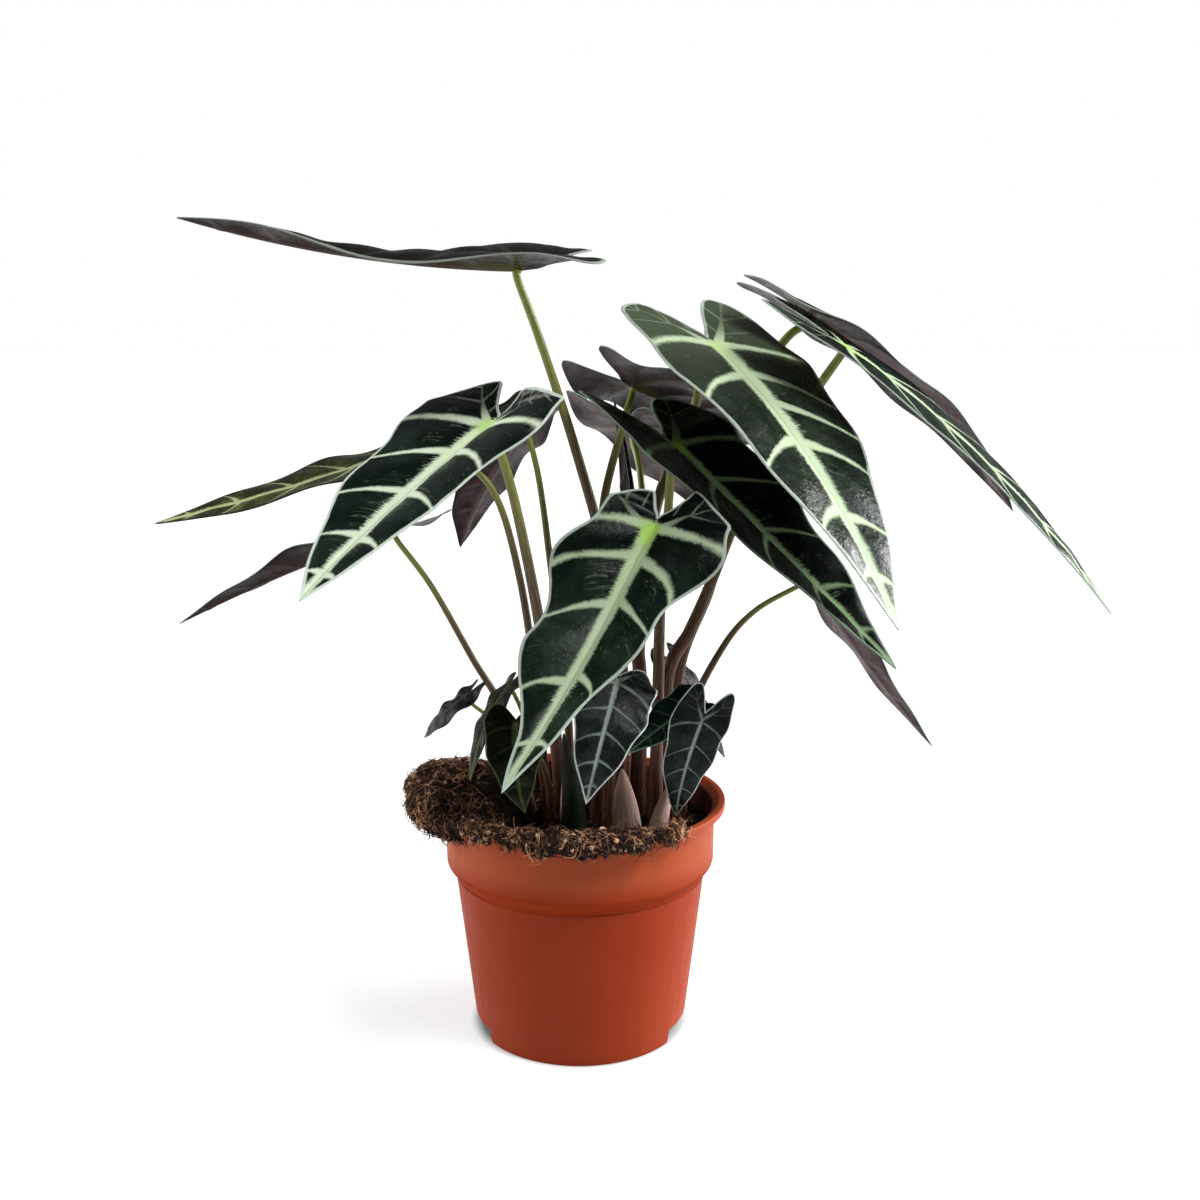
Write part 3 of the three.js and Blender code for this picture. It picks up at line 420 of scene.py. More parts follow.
def make_mesh(name, points, faces, values=None, vectors=None):
    """A mesh from points in millimetres, with named numbers and vectors on its points."""
    mesh = bpy.data.meshes.new(name)
    mesh.from_pydata((np.asarray(points) * MM).tolist(), [], [list(map(int, face)) for face in faces])
    for key, numbers in (values or {}).items():
        layer = mesh.attributes.new(key, "FLOAT", "POINT")
        layer.data.foreach_set("value", np.asarray(numbers, np.float32).ravel())
    for key, numbers in (vectors or {}).items():
        layer = mesh.attributes.new(key, "FLOAT_VECTOR", "POINT")
        layer.data.foreach_set("vector", np.asarray(numbers, np.float32).ravel())
    mesh.shade_smooth()
    return mesh


def closed(mesh):
    """Drops the points that no face uses, and turns all faces of a closed mesh outward."""
    shape = bmesh.new()
    shape.from_mesh(mesh)
    loose = [point for point in shape.verts if not point.link_faces]
    bmesh.ops.delete(shape, geom=loose, context="VERTS")
    bmesh.ops.recalc_face_normals(shape, faces=shape.faces)
    shape.to_mesh(mesh)
    shape.free()
    return mesh


def in_scene(name, data):
    """A new object of the scene."""
    made = bpy.data.objects.new(name, data)
    bpy.context.scene.collection.objects.link(made)
    return made


def place_piece(name, mesh, materials, slot, *nodes):
    """Puts a piece into the scene on the plant's only body, in place of the CAD nodes named."""
    piece = in_scene(name, mesh)
    for material in materials:
        mesh.materials.append(material)
    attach(piece, "root")
    if nodes:
        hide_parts(*nodes)
    return piece


class Graph:
    """The nodes of one material, written as calls that each return an output."""

    def __init__(self, name):
        self.material = bpy.data.materials.new(name)
        self.material.use_nodes = True
        self.tree = self.material.node_tree
        self.shader = self.tree.nodes["Principled BSDF"]

    def node(self, kind, inputs=(), **settings):
        made = self.tree.nodes.new(kind)
        for key, value in settings.items():
            setattr(made, key, value)
        for key, value in dict(inputs).items():
            self.feed(made.inputs[key], value)
        return made

    def feed(self, socket, value):
        if isinstance(value, bpy.types.NodeSocket):
            self.tree.links.new(value, socket)
        else:
            socket.default_value = value

    def set(self, **inputs):
        """Sets or links the shader's sockets; an underscore stands for a space."""
        for key, value in inputs.items():
            self.feed(self.shader.inputs[key.replace("_", " ")], value)

    def math(self, operation, *values):
        inputs = dict(enumerate(values))
        return self.node("ShaderNodeMath", inputs, operation=operation).outputs[0]

    def chain(self, operation, values):
        made = values[0]
        for value in values[1:]:
            made = self.math(operation, made, value)
        return made

    def times(self, *values):
        return self.chain("MULTIPLY", values)

    def largest(self, *values):
        return self.chain("MAXIMUM", values)

    def line(self, value, slope, start):
        """The value times the slope, plus the start."""
        return self.math("MULTIPLY_ADD", value, slope, start)

    def gap(self, first, second):
        """Distance between two numbers."""
        return self.math("ABSOLUTE", self.math("SUBTRACT", first, second))

    def hypot(self, x, y):
        return self.math("SQRT", self.line(x, x, self.times(y, y)))

    def number(self, name):
        return self.node("ShaderNodeAttribute", attribute_name=name).outputs["Fac"]

    def vector(self, name):
        return self.node("ShaderNodeAttribute", attribute_name=name).outputs["Vector"]

    def position(self):
        return self.node("ShaderNodeTexCoord").outputs["Object"]

    def axes(self, vector):
        return list(self.node("ShaderNodeSeparateXYZ", {0: vector}).outputs)

    def scaled(self, vector, scale):
        return self.node("ShaderNodeMapping", {"Vector": vector, "Scale": scale}).outputs[0]

    def ramp(self, value, low, high, start=0.0, end=1.0):
        """Smooth change from start to end as the value goes from low to high."""
        inputs = {"Value": value, "From Min": low, "From Max": high, "To Min": start, "To Max": end}
        made = self.node("ShaderNodeMapRange", inputs, interpolation_type="SMOOTHSTEP")
        return made.outputs["Result"]

    def noise(self, vector, scale, detail=3.0, rough=0.5, distortion=0.0):
        inputs = {"Vector": vector, "Scale": scale, "Detail": detail, "Roughness": rough,
                  "Distortion": distortion}
        return self.node("ShaderNodeTexNoise", inputs).outputs["Fac"]

    def cells(self, vector, scale):
        """Distance from the nearest edge between cells."""
        inputs = {"Vector": vector, "Scale": scale}
        return self.node("ShaderNodeTexVoronoi", inputs, feature="DISTANCE_TO_EDGE").outputs["Distance"]

    def blend(self, part, first, second):
        """A mix of two colours, each an output or a colour of the photograph."""
        made = self.node("ShaderNodeMix", data_type="RGBA")
        self.feed(made.inputs[0], part)
        for socket, value in ((6, first), (7, second)):
            output = isinstance(value, bpy.types.NodeSocket)
            self.feed(made.inputs[socket], value if output else linear(value))
        return made.outputs[2]

    def layers(self, colour, *layers):
        """The colour with each layer, its strength and its colour, laid over those before it."""
        for part, layer in layers:
            colour = self.blend(part, colour, layer)
        return colour

    def bump(self, height, distance, strength=1.0, under=None):
        inputs = {"Height": height, "Distance": distance * MM, "Strength": strength}
        if under is not None:
            inputs["Normal"] = under
        return self.node("ShaderNodeBump", inputs).outputs["Normal"]


def midrib_mask(graph, fray, swell, wide):
    """The midrib: it narrows towards the tip and has tufts of hair-thin veins at its sides."""
    flat, place = graph.vector("flat"), graph.number("place")
    hairs = graph.ramp(graph.noise(graph.vector("comb"), 2.0, 2.0, 0.5), 0.42, 0.7)
    tufts = graph.ramp(graph.noise(flat, 0.09, 2.0), 0.38, 0.62, 0.25, 1.0)
    tufts = graph.times(tufts, graph.ramp(place, 0.6, 0.9, 1.0, 0.2))
    behind = graph.largest(graph.times(place, -90.0), 0.0)
    half = graph.line(swell, 1.2 * wide, graph.ramp(place, -0.05, 1.0, 3.4 * wide, 1.7 * wide))
    reach = graph.line(graph.times(hairs, tufts), 1.9 * wide, half)
    inside = graph.math("SUBTRACT", reach, graph.math("ADD", graph.number("out"), behind))
    return graph.ramp(graph.line(fray, 1.0, inside), -1.1, 1.0)


def side_vein_mask(graph, fray, swell, wide):
    """The side veins, which narrow towards the margin."""
    number = graph.number("vein")
    away = graph.times(graph.gap(number, graph.math("ROUND", number)), graph.number("spacing"))
    half = graph.ramp(graph.math("POWER", graph.number("across"), 0.6), 0.15, 1.0, 1.65 * wide, 0.5 * wide)
    reach = graph.line(fray, 1.1, graph.line(swell, 1.1 * wide, half))
    side = graph.ramp(graph.math("SUBTRACT", reach, away), -0.8, 0.7)
    return graph.times(side, graph.math("GREATER_THAN", number, -0.5))


def lobe_vein_mask(graph, fray):
    """The vein of each lobe and its faint branches."""
    place, side = graph.number("lobe_place"), graph.math("ABSOLUTE", graph.number("lobe_side"))
    half = graph.line(fray, 1.2, graph.ramp(place, 0.0, 0.9, 2.0, 0.3))
    lobe = graph.ramp(graph.math("SUBTRACT", half, side), -0.5, 0.5)
    lobe = graph.times(lobe, graph.ramp(place, 0.05, 0.7, 1.0, 0.2), graph.ramp(place, -0.08, 0.02))
    branch = graph.times(graph.line(side, -0.028, place), LOBE_BRANCHES)
    order = graph.math("ROUND", branch)
    away = graph.times(graph.gap(branch, order), 10.0)
    thin = graph.line(fray, 0.8, graph.ramp(side, 0.0, 16.0, 0.75, 0.2))
    branches = graph.ramp(graph.math("SUBTRACT", thin, away), -0.35, 0.35)
    faint = graph.ramp(graph.number("vein"), -0.75, -0.45, 0.22, 0.0)
    branches = graph.times(branches, graph.math("GREATER_THAN", order, 0.5), faint)
    return graph.largest(lobe, branches)


def vein_masks(graph, wide):
    """How much of a point is midrib, and how much is a side vein, lobe vein or branch of one."""
    flat = graph.vector("flat")
    fray = graph.math("SUBTRACT", graph.noise(flat, 0.8, 3.0, 0.6), 0.5)
    swell = graph.math("SUBTRACT", graph.noise(flat, 0.13, 2.0), 0.5)
    side = side_vein_mask(graph, fray, swell, wide)
    return midrib_mask(graph, fray, swell, wide), graph.largest(side, lobe_vein_mask(graph, fray))


def fine_veins(graph):
    """Faint hair-thin veins beside the side veins, in loose patches."""
    hair = graph.noise(graph.vector("comb"), 0.4, 2.0, 0.5, 0.3)
    thin = graph.ramp(graph.gap(hair, 0.5), 0.003, 0.012, 1.0, 0.0)
    patch = graph.ramp(graph.noise(graph.vector("flat"), 0.1, 2.0), 0.48, 0.66)
    return graph.times(thin, patch, graph.ramp(graph.number("out"), 3.0, 24.0, 1.0, 0.3))


def blade_top(name, finish):
    """Glossy dark upper face of a blade with its pale feathered veins."""
    ground, light, lobes, vein, heart, margin, show, wide, shine = finish
    graph = Graph(name)
    rib, veins = vein_masks(graph, wide)
    flat, place, out = graph.vector("flat"), graph.number("place"), graph.number("out")
    cloud = graph.ramp(graph.noise(flat, 0.06, 4.0, 0.6), 0.4, 0.78)
    mottle = graph.ramp(graph.noise(flat, 0.9, 4.0, 0.7), 0.45, 0.8, 0.0, 0.4)
    # Towards the lobes the ground turns to the lobe colour: painted shade, and painted light on the wet
    # finish.
    dark = graph.layers(ground, (cloud, light), (mottle, light),
                        (graph.ramp(place, -0.08, 0.34, 0.9, 0.0), lobes),
                        (graph.times(fine_veins(graph), 0.26), vein))
    along = graph.axes(flat)[0]
    near_heart = graph.ramp(graph.hypot(along, out), 2.0, 8.0, 0.9, 0.0)
    tint = graph.times(graph.ramp(along, 4.0, 40.0, 0.22, 0.0), rib)
    # A thin darker line down the middle of the midrib, in its groove: painted shade in the crease.
    midrib_crease_shade = graph.times(graph.ramp(out, 0.15, 0.5, 0.32, 0.0), graph.ramp(place, 0.0, 0.06))
    pale = graph.layers(vein, (near_heart, heart), (tint, heart), (midrib_crease_shade, light))
    tip = graph.ramp(graph.line(out, 0.006, place), 0.94, 0.985, 0.0, 0.85)
    mask = graph.largest(graph.times(rib, 0.96), graph.times(veins, show), tip)
    ragged = graph.line(graph.noise(flat, 0.16, 2.0), 0.9, -0.45)
    rim = graph.ramp(graph.math("ADD", graph.number("edge"), ragged), 0.7, 1.4, 0.92, 0.0)
    colour = graph.layers(dark, (mask, pale), (rim, margin))
    height = graph.line(mask, -0.8, graph.noise(flat, 0.5, 3.0, 0.6))
    grain = graph.bump(graph.noise(flat, 5.0, 2.0), 0.02, 0.5)
    normal = graph.bump(height, 0.1 + 1.6 * shine, 1.0, grain)
    gloss = graph.line(mask, 0.14, graph.ramp(graph.noise(flat, 0.22, 3.0), 0.3, 0.7, 0.2, 0.34))
    graph.set(Base_Color=colour, Roughness=gloss, Normal=normal, Specular_IOR_Level=shine)
    return graph.material


def blade_underside(name, finish):
    """Satin underside of a blade with paler raised veins."""
    ground, light, vein, heart, wide = finish
    graph = Graph(name)
    rib, veins = vein_masks(graph, wide)
    flat = graph.vector("flat")
    net = graph.cells(flat, 0.42)
    cloud = graph.ramp(graph.noise(flat, 0.09, 4.0, 0.6), 0.3, 0.7)
    near_heart = graph.ramp(graph.math("ABSOLUTE", graph.number("place")), 0.0, 0.3, 0.8, 0.0)
    pale = graph.blend(near_heart, vein, heart)
    mask = graph.largest(graph.times(rib, 0.75), graph.times(veins, 0.4))
    colour = graph.layers(ground, (cloud, light), (graph.ramp(net, 0.0, 0.1, 0.22, 0.0), vein), (mask, pale),
                          (graph.ramp(graph.number("edge"), 0.0, 9.0, 0.8, 0.0), ground))
    height = graph.line(mask, 0.8, graph.times(net, 0.6))
    normal = graph.bump(height, 0.3, 0.9, graph.bump(graph.noise(flat, 3.0, 2.0), 0.03, 0.6))
    gloss = graph.ramp(graph.noise(flat, 0.3, 2.0), 0.3, 0.7, 0.36, 0.5)
    graph.set(Base_Color=colour, Roughness=gloss, Normal=normal, Specular_IOR_Level=0.1)
    return graph.material


def stalk_material():
    """Olive at the blade, brown and mottled towards the foot, with fine streaks along it."""
    graph = Graph("stalk_skin")
    along, strip = graph.number("along"), graph.vector("strip")
    streaks = graph.noise(graph.scaled(strip, (1.0, 1.0, 0.05)), 1.4, 4.0, 0.6)
    shift = graph.line(streaks, 0.3, graph.math("SUBTRACT", along, 0.15))
    spots = graph.ramp(graph.noise(graph.scaled(strip, (1.0, 1.0, 0.35)), 0.9, 3.0, 0.7), 0.5, 0.66)
    spots = graph.times(spots, graph.ramp(along, 0.1, 0.8, 0.65, 0.1))
    fine = graph.noise(graph.scaled(strip, (1.0, 1.0, 0.04)), 4.0, 2.0)
    colour = graph.layers(STALK_FOOT, (graph.ramp(shift, 0.2, 0.6), STALK_MIDDLE),
                          (graph.ramp(shift, 0.62, 0.98), STALK_TOP), (spots, STALK_MOTTLE),
                          (graph.ramp(fine, 0.45, 0.7, 0.0, 0.3), STALK_STREAK))
    gloss = graph.ramp(streaks, 0.3, 0.7, 0.3, 0.46)
    normal = graph.bump(fine, 0.12, 0.8)
    graph.set(Base_Color=colour, Roughness=gloss, Normal=normal, Specular_IOR_Level=0.25)
    return graph.material


def sheath_material(name, colours, roughness):
    """Dry or green sheath with fine ribs along it, browned towards its tip."""
    light, dark = colours
    graph = Graph(name)
    along = graph.number("along")
    ribs_at = graph.node("ShaderNodeCombineXYZ", {0: graph.number("across"), 1: along}).outputs[0]
    ribs = graph.noise(graph.scaled(ribs_at, (26.0, 0.8, 1.0)), 1.3, 4.0, 0.6)
    spots = graph.noise(graph.position(), 420.0, 4.0, 0.6)
    colour = graph.layers(dark, (graph.ramp(ribs, 0.38, 0.62), light),
                          (graph.ramp(along, 0.6, 1.0, 0.0, 0.6), dark),
                          (graph.ramp(spots, 0.56, 0.72, 0.0, 0.4), dark))
    gloss = graph.ramp(spots, 0.3, 0.7, roughness, roughness + 0.15)
    normal = graph.bump(ribs, 0.35, 0.9)
    graph.set(Base_Color=colour, Roughness=gloss, Normal=normal, Specular_IOR_Level=0.2)
    return graph.material


def pot_material():
    """Satin terracotta-coloured plastic, a little scuffed, with dust of the mix below the rim; painted shade
    inside it and along the step, and a collar made lighter partly by painted light.
    """
    graph = Graph("pot_plastic")
    place = graph.position()
    x, y, z = graph.axes(place)
    cloud = graph.noise(place, 18.0, 4.0, 0.6)
    scuff = graph.noise(graph.scaled(place, (1.0, 1.0, 0.25)), 260.0, 4.0, 0.7)
    # A thin dark line along the step below the collar, broken up by the cloud: painted shade in the step's
    # crease.
    step_crease_shade = graph.ramp(graph.gap(z, STEP_FOOT * MM), 0.0002, 0.0007, 0.75, 0.0)
    specks = graph.ramp(graph.noise(place, 900.0, 3.0, 0.6), 0.6, 0.7)
    # The inside wall above the collar's foot turns nearly black: painted shade.
    within = graph.math("LESS_THAN", graph.hypot(x, y), (COLLAR_RADIUS - 0.5 * WALL) * MM)
    colour = graph.layers(
        POT_COLOUR,
        (graph.ramp(cloud, 0.42, 0.8, 0.0, 0.22), POT_WORN),
        (graph.ramp(scuff, 0.62, 0.8, 0.0, 0.3), POT_WORN),
        (graph.times(step_crease_shade, graph.ramp(cloud, 0.35, 0.6)), POT_PAINTED_SHADE),
        # Towards its top the collar turns lighter and duller: partly the plastic's tone, partly painted
        # light against the leaves' shade.
        (graph.ramp(z, 0.072, 0.082, 0.0, 0.6), POT_COLLAR_TONE_AND_LIGHT),
        (graph.times(specks, graph.ramp(z, 0.078, 0.099), 0.45), POT_DUST),
        (graph.times(within, graph.ramp(z, 0.073, 0.075), 0.85), POT_PAINTED_SHADE),
    )
    orange_peel = graph.noise(place, 1400.0, 2.0)
    normal = graph.bump(orange_peel, 0.02, 0.5, graph.bump(cloud, 0.3, 0.4))
    under_collar = graph.gap(z, (STEP_FOOT + COLLAR_FOOT) / 2 * MM)
    matt = graph.ramp(under_collar, 0.0034, 0.0042, 0.95, 0.0)
    gloss = graph.largest(matt, graph.ramp(scuff, 0.35, 0.7, 0.48, 0.62))
    graph.set(Base_Color=colour, Roughness=gloss, Normal=normal, Specular_IOR_Level=0.1)
    return graph.material


def mix_material():
    """Dark coir and peat: nearly black in the hollows of its bump, partly its own tone and partly painted
    shade; brown and tan where strands lie.
    """
    hollow_shade_and_peat, brown, tan = MIX_COLOURS
    graph = Graph("coir_mix")
    place = graph.position()
    coarse = graph.noise(place, 260.0, 6.0, 0.7, 0.6)
    strands = graph.noise(graph.scaled(place, (1.0, 0.35, 0.6)), 900.0, 4.0, 0.7, 1.5)
    colour = graph.layers(hollow_shade_and_peat, (graph.ramp(coarse, 0.4, 0.7), brown),
                          (graph.ramp(strands, 0.58, 0.74, 0.0, 0.7), tan))
    normal = graph.bump(graph.math("ADD", coarse, graph.times(strands, 0.5)), 2.2)
    gloss = graph.ramp(coarse, 0.3, 0.7, 0.82, 0.96)
    graph.set(Base_Color=colour, Roughness=gloss, Normal=normal, Specular_IOR_Level=0.15)
    return graph.material


def loose_material(name, colours, scale):
    """Finish of the loose crumbs or strands: each has a tone of its own."""
    graph = Graph(name)
    grain = graph.noise(graph.position(), scale, 4.0, 0.7)
    tone = graph.line(grain, 0.5, graph.math("SUBTRACT", graph.number("tone"), 0.25))
    colour = graph.blend(graph.ramp(tone, 0.05, 0.95), *colours)
    gloss = graph.ramp(grain, 0.3, 0.7, 0.8, 0.95)
    normal = graph.bump(grain, 0.5, 0.9)
    graph.set(Base_Color=colour, Roughness=gloss, Normal=normal, Specular_IOR_Level=0.15)
    return graph.material


def floor_material():
    """Pale floor that glows softly, except under the pot and just round its foot, where the missing glow is
    a painted contact shadow.
    """
    graph = Graph("floor_white")
    place = graph.position()
    x, y, _ = graph.axes(place)
    # The glow fades out from just outside the pot's foot inward: a painted contact shadow.
    glow_past_contact_shadow = graph.ramp(graph.hypot(x, y), (FOOT_RADIUS - 3) * MM, (FOOT_RADIUS + 4) * MM)
    glow = graph.blend(glow_past_contact_shadow, (0, 0, 0), (255, 255, 255))
    colour = graph.blend(graph.noise(place, 30.0, 3.0), *FLOOR_COLOURS)
    graph.set(Base_Color=colour, Roughness=0.9, Specular_IOR_Level=0.1)
    graph.set(Emission_Color=glow, Emission_Strength=FLOOR_GLOW)
    return graph.material


def leaf_frame(leaf):
    """Heart, tip, bend and facing of a blade, as the part's source has them."""
    heart, tip = np.array(leaf["heart"], float), np.array(leaf["tip"], float)
    along = unit(tip - heart)
    face = np.array(facing(*leaf["faces"]))
    face = unit(face - np.dot(face, along) * along)
    side = np.cross(along, face)
    middle = (heart + tip) / 2 + 2 * leaf["arch"] * face + 2 * leaf["aside"] * side
    return heart, tip, middle, face


def midrib_at(leaf, place):
    """Point, direction and upward normal of the midrib at each place."""
    heart, tip, middle, face = leaf_frame(leaf)
    t = np.asarray(place, float)[..., None]
    point = (1 - t) ** 2 * heart + 2 * t * (1 - t) * middle + t ** 2 * tip
    along = unit((1 - t) * (middle - heart) + t * (tip - middle))
    normal = unit(face - dot(along, face) * along)
    return point, along, normal


def blade_points(leaf, t, side, across):
    """Points of half a blade, with their distance from the midrib."""
    hand = 0 if side < 0 else 1
    place = np.where(t < SINUS, SINUS + (t - SINUS) * leaf["lobes"][hand], t)
    point, along, normal = midrib_at(leaf, place)
    angle = np.radians(leaf["twist"] * t)[..., None]
    turned = normal * np.cos(angle) + np.cross(along, normal) * np.sin(angle)
    sideways = np.cross(along, turned) * side
    half = leaf["width"] / 2
    broad = half * np.interp(t, BREADTH_PLACES, leaf["breadth"][hand])
    beat = 2 * np.pi * leaf["beats"] * t + leaf["phase"][hand]
    fade = np.clip(t / 0.1 + 0.5, 0, 1)
    inner = smooth_line(INNER_LINE, t) / WIDEST * broad
    outer = smooth_line(OUTER_LINE, t) / WIDEST * broad * (1 + leaf["scallop"] * np.cos(beat) * fade)
    out = inner + across * (outer - inner)
    part = out / half
    rise = math.radians(leaf["rise"][hand])
    lobe = np.maximum(0, t / LOBE_END) ** 1.5
    height = (out * math.sin(rise) - leaf["droop"] * out * part + leaf["lift"] * lobe
              + leaf["wave"] * part ** 2 * np.sin(beat))
    points = point + sideways * (out * math.cos(rise))[..., None] + turned * height[..., None]
    return points, place, out


def swept_place(t, across):
    """Place along the blade on a row that starts at t on the midrib and sweeps forward to the margin."""
    ramp = smoothstep(t, SINUS, VEIN_RAMP)
    return t + VEIN_SWEEP * ramp * across * smooth_line(OUTER_LINE, t) * (1 - t ** 3)


def vein_field(root, veins, length):
    """Which side vein is nearest at a root place, as a number that is whole on a vein, and the distance
    in millimetres from one vein to the next."""
    veins = np.array(veins)
    gaps = np.diff(veins)
    k = np.clip(np.searchsorted(veins, root) - 1, 0, len(gaps) - 1)
    gap = gaps[k]
    number = k + (root - veins[k]) / gap
    before = root < veins[0]
    number = np.where(before, (root - veins[0]) / FIRST_VEIN_GAP, number)
    gap = np.where(before, FIRST_VEIN_GAP, gap)
    return number, gap * length * 0.8


def lobe_field(flat, reach):
    """Signed distance from a lobe's vein, in parts of the blade's length, and the place along that vein."""
    foot, bend, end = (np.array(point, float) for point in LOBE_VEIN)
    bend = bend * (reach, 1)
    end = end * (reach, 1)
    u = np.linspace(0, 1, 41)[:, None]
    curve = (1 - u) ** 2 * foot + 2 * u * (1 - u) * bend + u ** 2 * end
    gaps = flat[:, None, :] - curve[None]
    nearest = np.argmin(np.sum(gaps ** 2, axis=2), axis=1)
    step = unit(np.gradient(curve, axis=0))[nearest]
    offset = flat - curve[nearest]
    signed = step[:, 0] * offset[:, 1] - step[:, 1] * offset[:, 0]
    beyond = np.sum(step * offset, axis=1)
    return signed, u[nearest, 0] + beyond / np.linalg.norm(end)


def edge_distance(flat, outline):
    """Distance of each flat point from the outline, in the same units."""
    start, end = outline[:-1], outline[1:]
    run = end - start
    size = np.maximum(np.sum(run ** 2, axis=1), 1e-12)
    gaps = flat[:, None, :] - start[None]
    part = np.clip(np.sum(gaps * run[None], axis=2) / size, 0, 1)
    return np.sqrt(np.min(np.sum((gaps - part[..., None] * run[None]) ** 2, axis=2), axis=1))


def half_blade(leaf, side, seed):
    """Grid of points of half a blade, its normals, and the numbers that its material reads."""
    small = leaf["width"] < SMALL_BLADE_WIDTH
    lobe_rows, main_rows, columns = SMALL_GRID if small else LARGE_GRID
    hand = 0 if side < 0 else 1
    lobe = LOBE_END + LOBE_GAP + (SINUS - LOBE_END - LOBE_GAP) * np.linspace(0, 1, lobe_rows) ** 1.6
    main = SINUS + (BLADE_END - SINUS) * np.linspace(0, 1, main_rows + 1)[1:]
    rows = np.concatenate([lobe, main])
    s, across = np.meshgrid(rows, np.linspace(0, 1, columns), indexing="ij")
    points, place, out = blade_points(leaf, swept_place(s, across), side, across)
    normals = unit(np.cross(np.gradient(points, axis=1), np.gradient(points, axis=0)) * side)
    heart, tip, _, _ = leaf_frame(leaf)
    length = np.linalg.norm(tip - heart)
    veins = OWN_VEINS.get(leaf["name"], SMALL_VEINS if small else LARGE_VEINS)[hand]
    bow = VEIN_BOW * smoothstep(s, SINUS, VEIN_RAMP) * smooth_line(OUTER_LINE, s)
    root = s + bow * across * (1 - across) - VEIN_CURL * across ** 2
    number, spacing = vein_field(root, veins, length)
    flat = np.stack([place, out / length], axis=-1)
    outline = np.concatenate([flat[:lobe_rows, 0][::-1], flat[:, -1]])
    lobe_side, lobe_place = lobe_field(flat.reshape(-1, 2), leaf["lobes"][hand])
    edge = edge_distance(flat.reshape(-1, 2), outline)
    fold = np.sin(np.pi * np.mod(number, 1)) ** 2
    puff = QUILT * (0.4 if small else 1) * np.where(number < 0, 0.35, 1) * fold
    puff = puff * np.sin(np.pi * np.clip(across, 0, 1)) * (1 - smoothstep(s, 0.8, 0.97))
    data = {
        "out": out, "place": place, "across": across, "vein": number, "spacing": spacing,
        "lobe_side": lobe_side.reshape(s.shape) * length, "lobe_place": lobe_place.reshape(s.shape),
        "edge": edge.reshape(s.shape) * length, "puff": puff,
    }
    deep = np.full_like(out, seed * 40.0)
    data["flat"] = np.stack([place * length, out * side, deep], axis=-1)
    data["comb"] = np.stack([root * length, out * side * 0.12, deep], axis=-1)
    return points, normals, data, lobe_rows


def joined_halves(leaf, seed):
    """Points, normals, numbers and top faces of both halves, which share the points of their midrib."""
    left_points, left_normals, left_data, lobe_rows = half_blade(leaf, -1, seed)
    right_points, right_normals, right_data, _ = half_blade(leaf, 1, seed)
    rows, columns = left_points.shape[:2]
    left = np.arange(rows * columns).reshape(rows, columns)
    right = left + rows * columns
    shared = slice(lobe_rows - 1, None)
    middle = unit(left_normals[shared, 0] + right_normals[shared, 0])
    left_normals[shared, 0] = middle
    right_normals[shared, 0] = middle
    right[shared, 0] = left[shared, 0]
    points = np.concatenate([left_points.reshape(-1, 3), right_points.reshape(-1, 3)])
    normals = np.concatenate([left_normals.reshape(-1, 3), right_normals.reshape(-1, 3)])
    data = {}
    for key in left_data:
        size = (-1, 3) if key in ("flat", "comb") else (-1,)
        data[key] = np.concatenate([left_data[key].reshape(size), right_data[key].reshape(size)])
    top = np.concatenate([grid_faces(left)[:, ::-1], grid_faces(right)])
    return points, normals, data, top


def blade_mesh(leaf, seed):
    """Closed skin of a whole blade; the top face has material 0, the underside 1."""
    points, normals, data, top = joined_halves(leaf, seed)
    faces = skin_faces(top, len(points))
    taper = 1 - np.clip(data["place"], 0, 1)
    keel = KEEL_DEPTH * (leaf["width"] / KEEL_WIDTH) * taper * np.exp(-(data["out"] / 1.7) ** 2)
    keel = keel * smoothstep(data["place"], SINUS - 0.03, 0.03)
    gap = np.abs(data["vein"] - np.round(data["vein"])) * data["spacing"]
    ridge = 0.45 * (1 - data["across"]) * np.exp(-(gap / 1.1) ** 2) * (data["vein"] > -0.5)
    groove = 0.3 * taper * np.exp(-(data["out"] / 0.8) ** 2)
    rise = data["puff"] - groove
    above = points + normals * (SKIN / 2 + rise)[:, None]
    below = points + normals * (rise - SKIN / 2 - np.maximum(keel, ridge))[:, None]
    grade = leaf["width"] / USUAL_WIDTH
    values = {key: np.tile(data[key], 2) for key in ("place", "across", "vein", "lobe_place")}
    values.update({key: np.tile(data[key] / grade, 2) for key in ("out", "spacing", "lobe_side", "edge")})
    vectors = {key: np.tile(data[key] / grade, (2, 1)) for key in ("flat", "comb")}
    mesh = make_mesh("blade_" + leaf["name"], np.concatenate([above, below]), faces, values, vectors)
    slots = np.zeros(len(faces), np.int32)
    slots[len(faces) - len(top):] = 1
    mesh.polygons.foreach_set("material_index", slots)
    return closed(mesh)


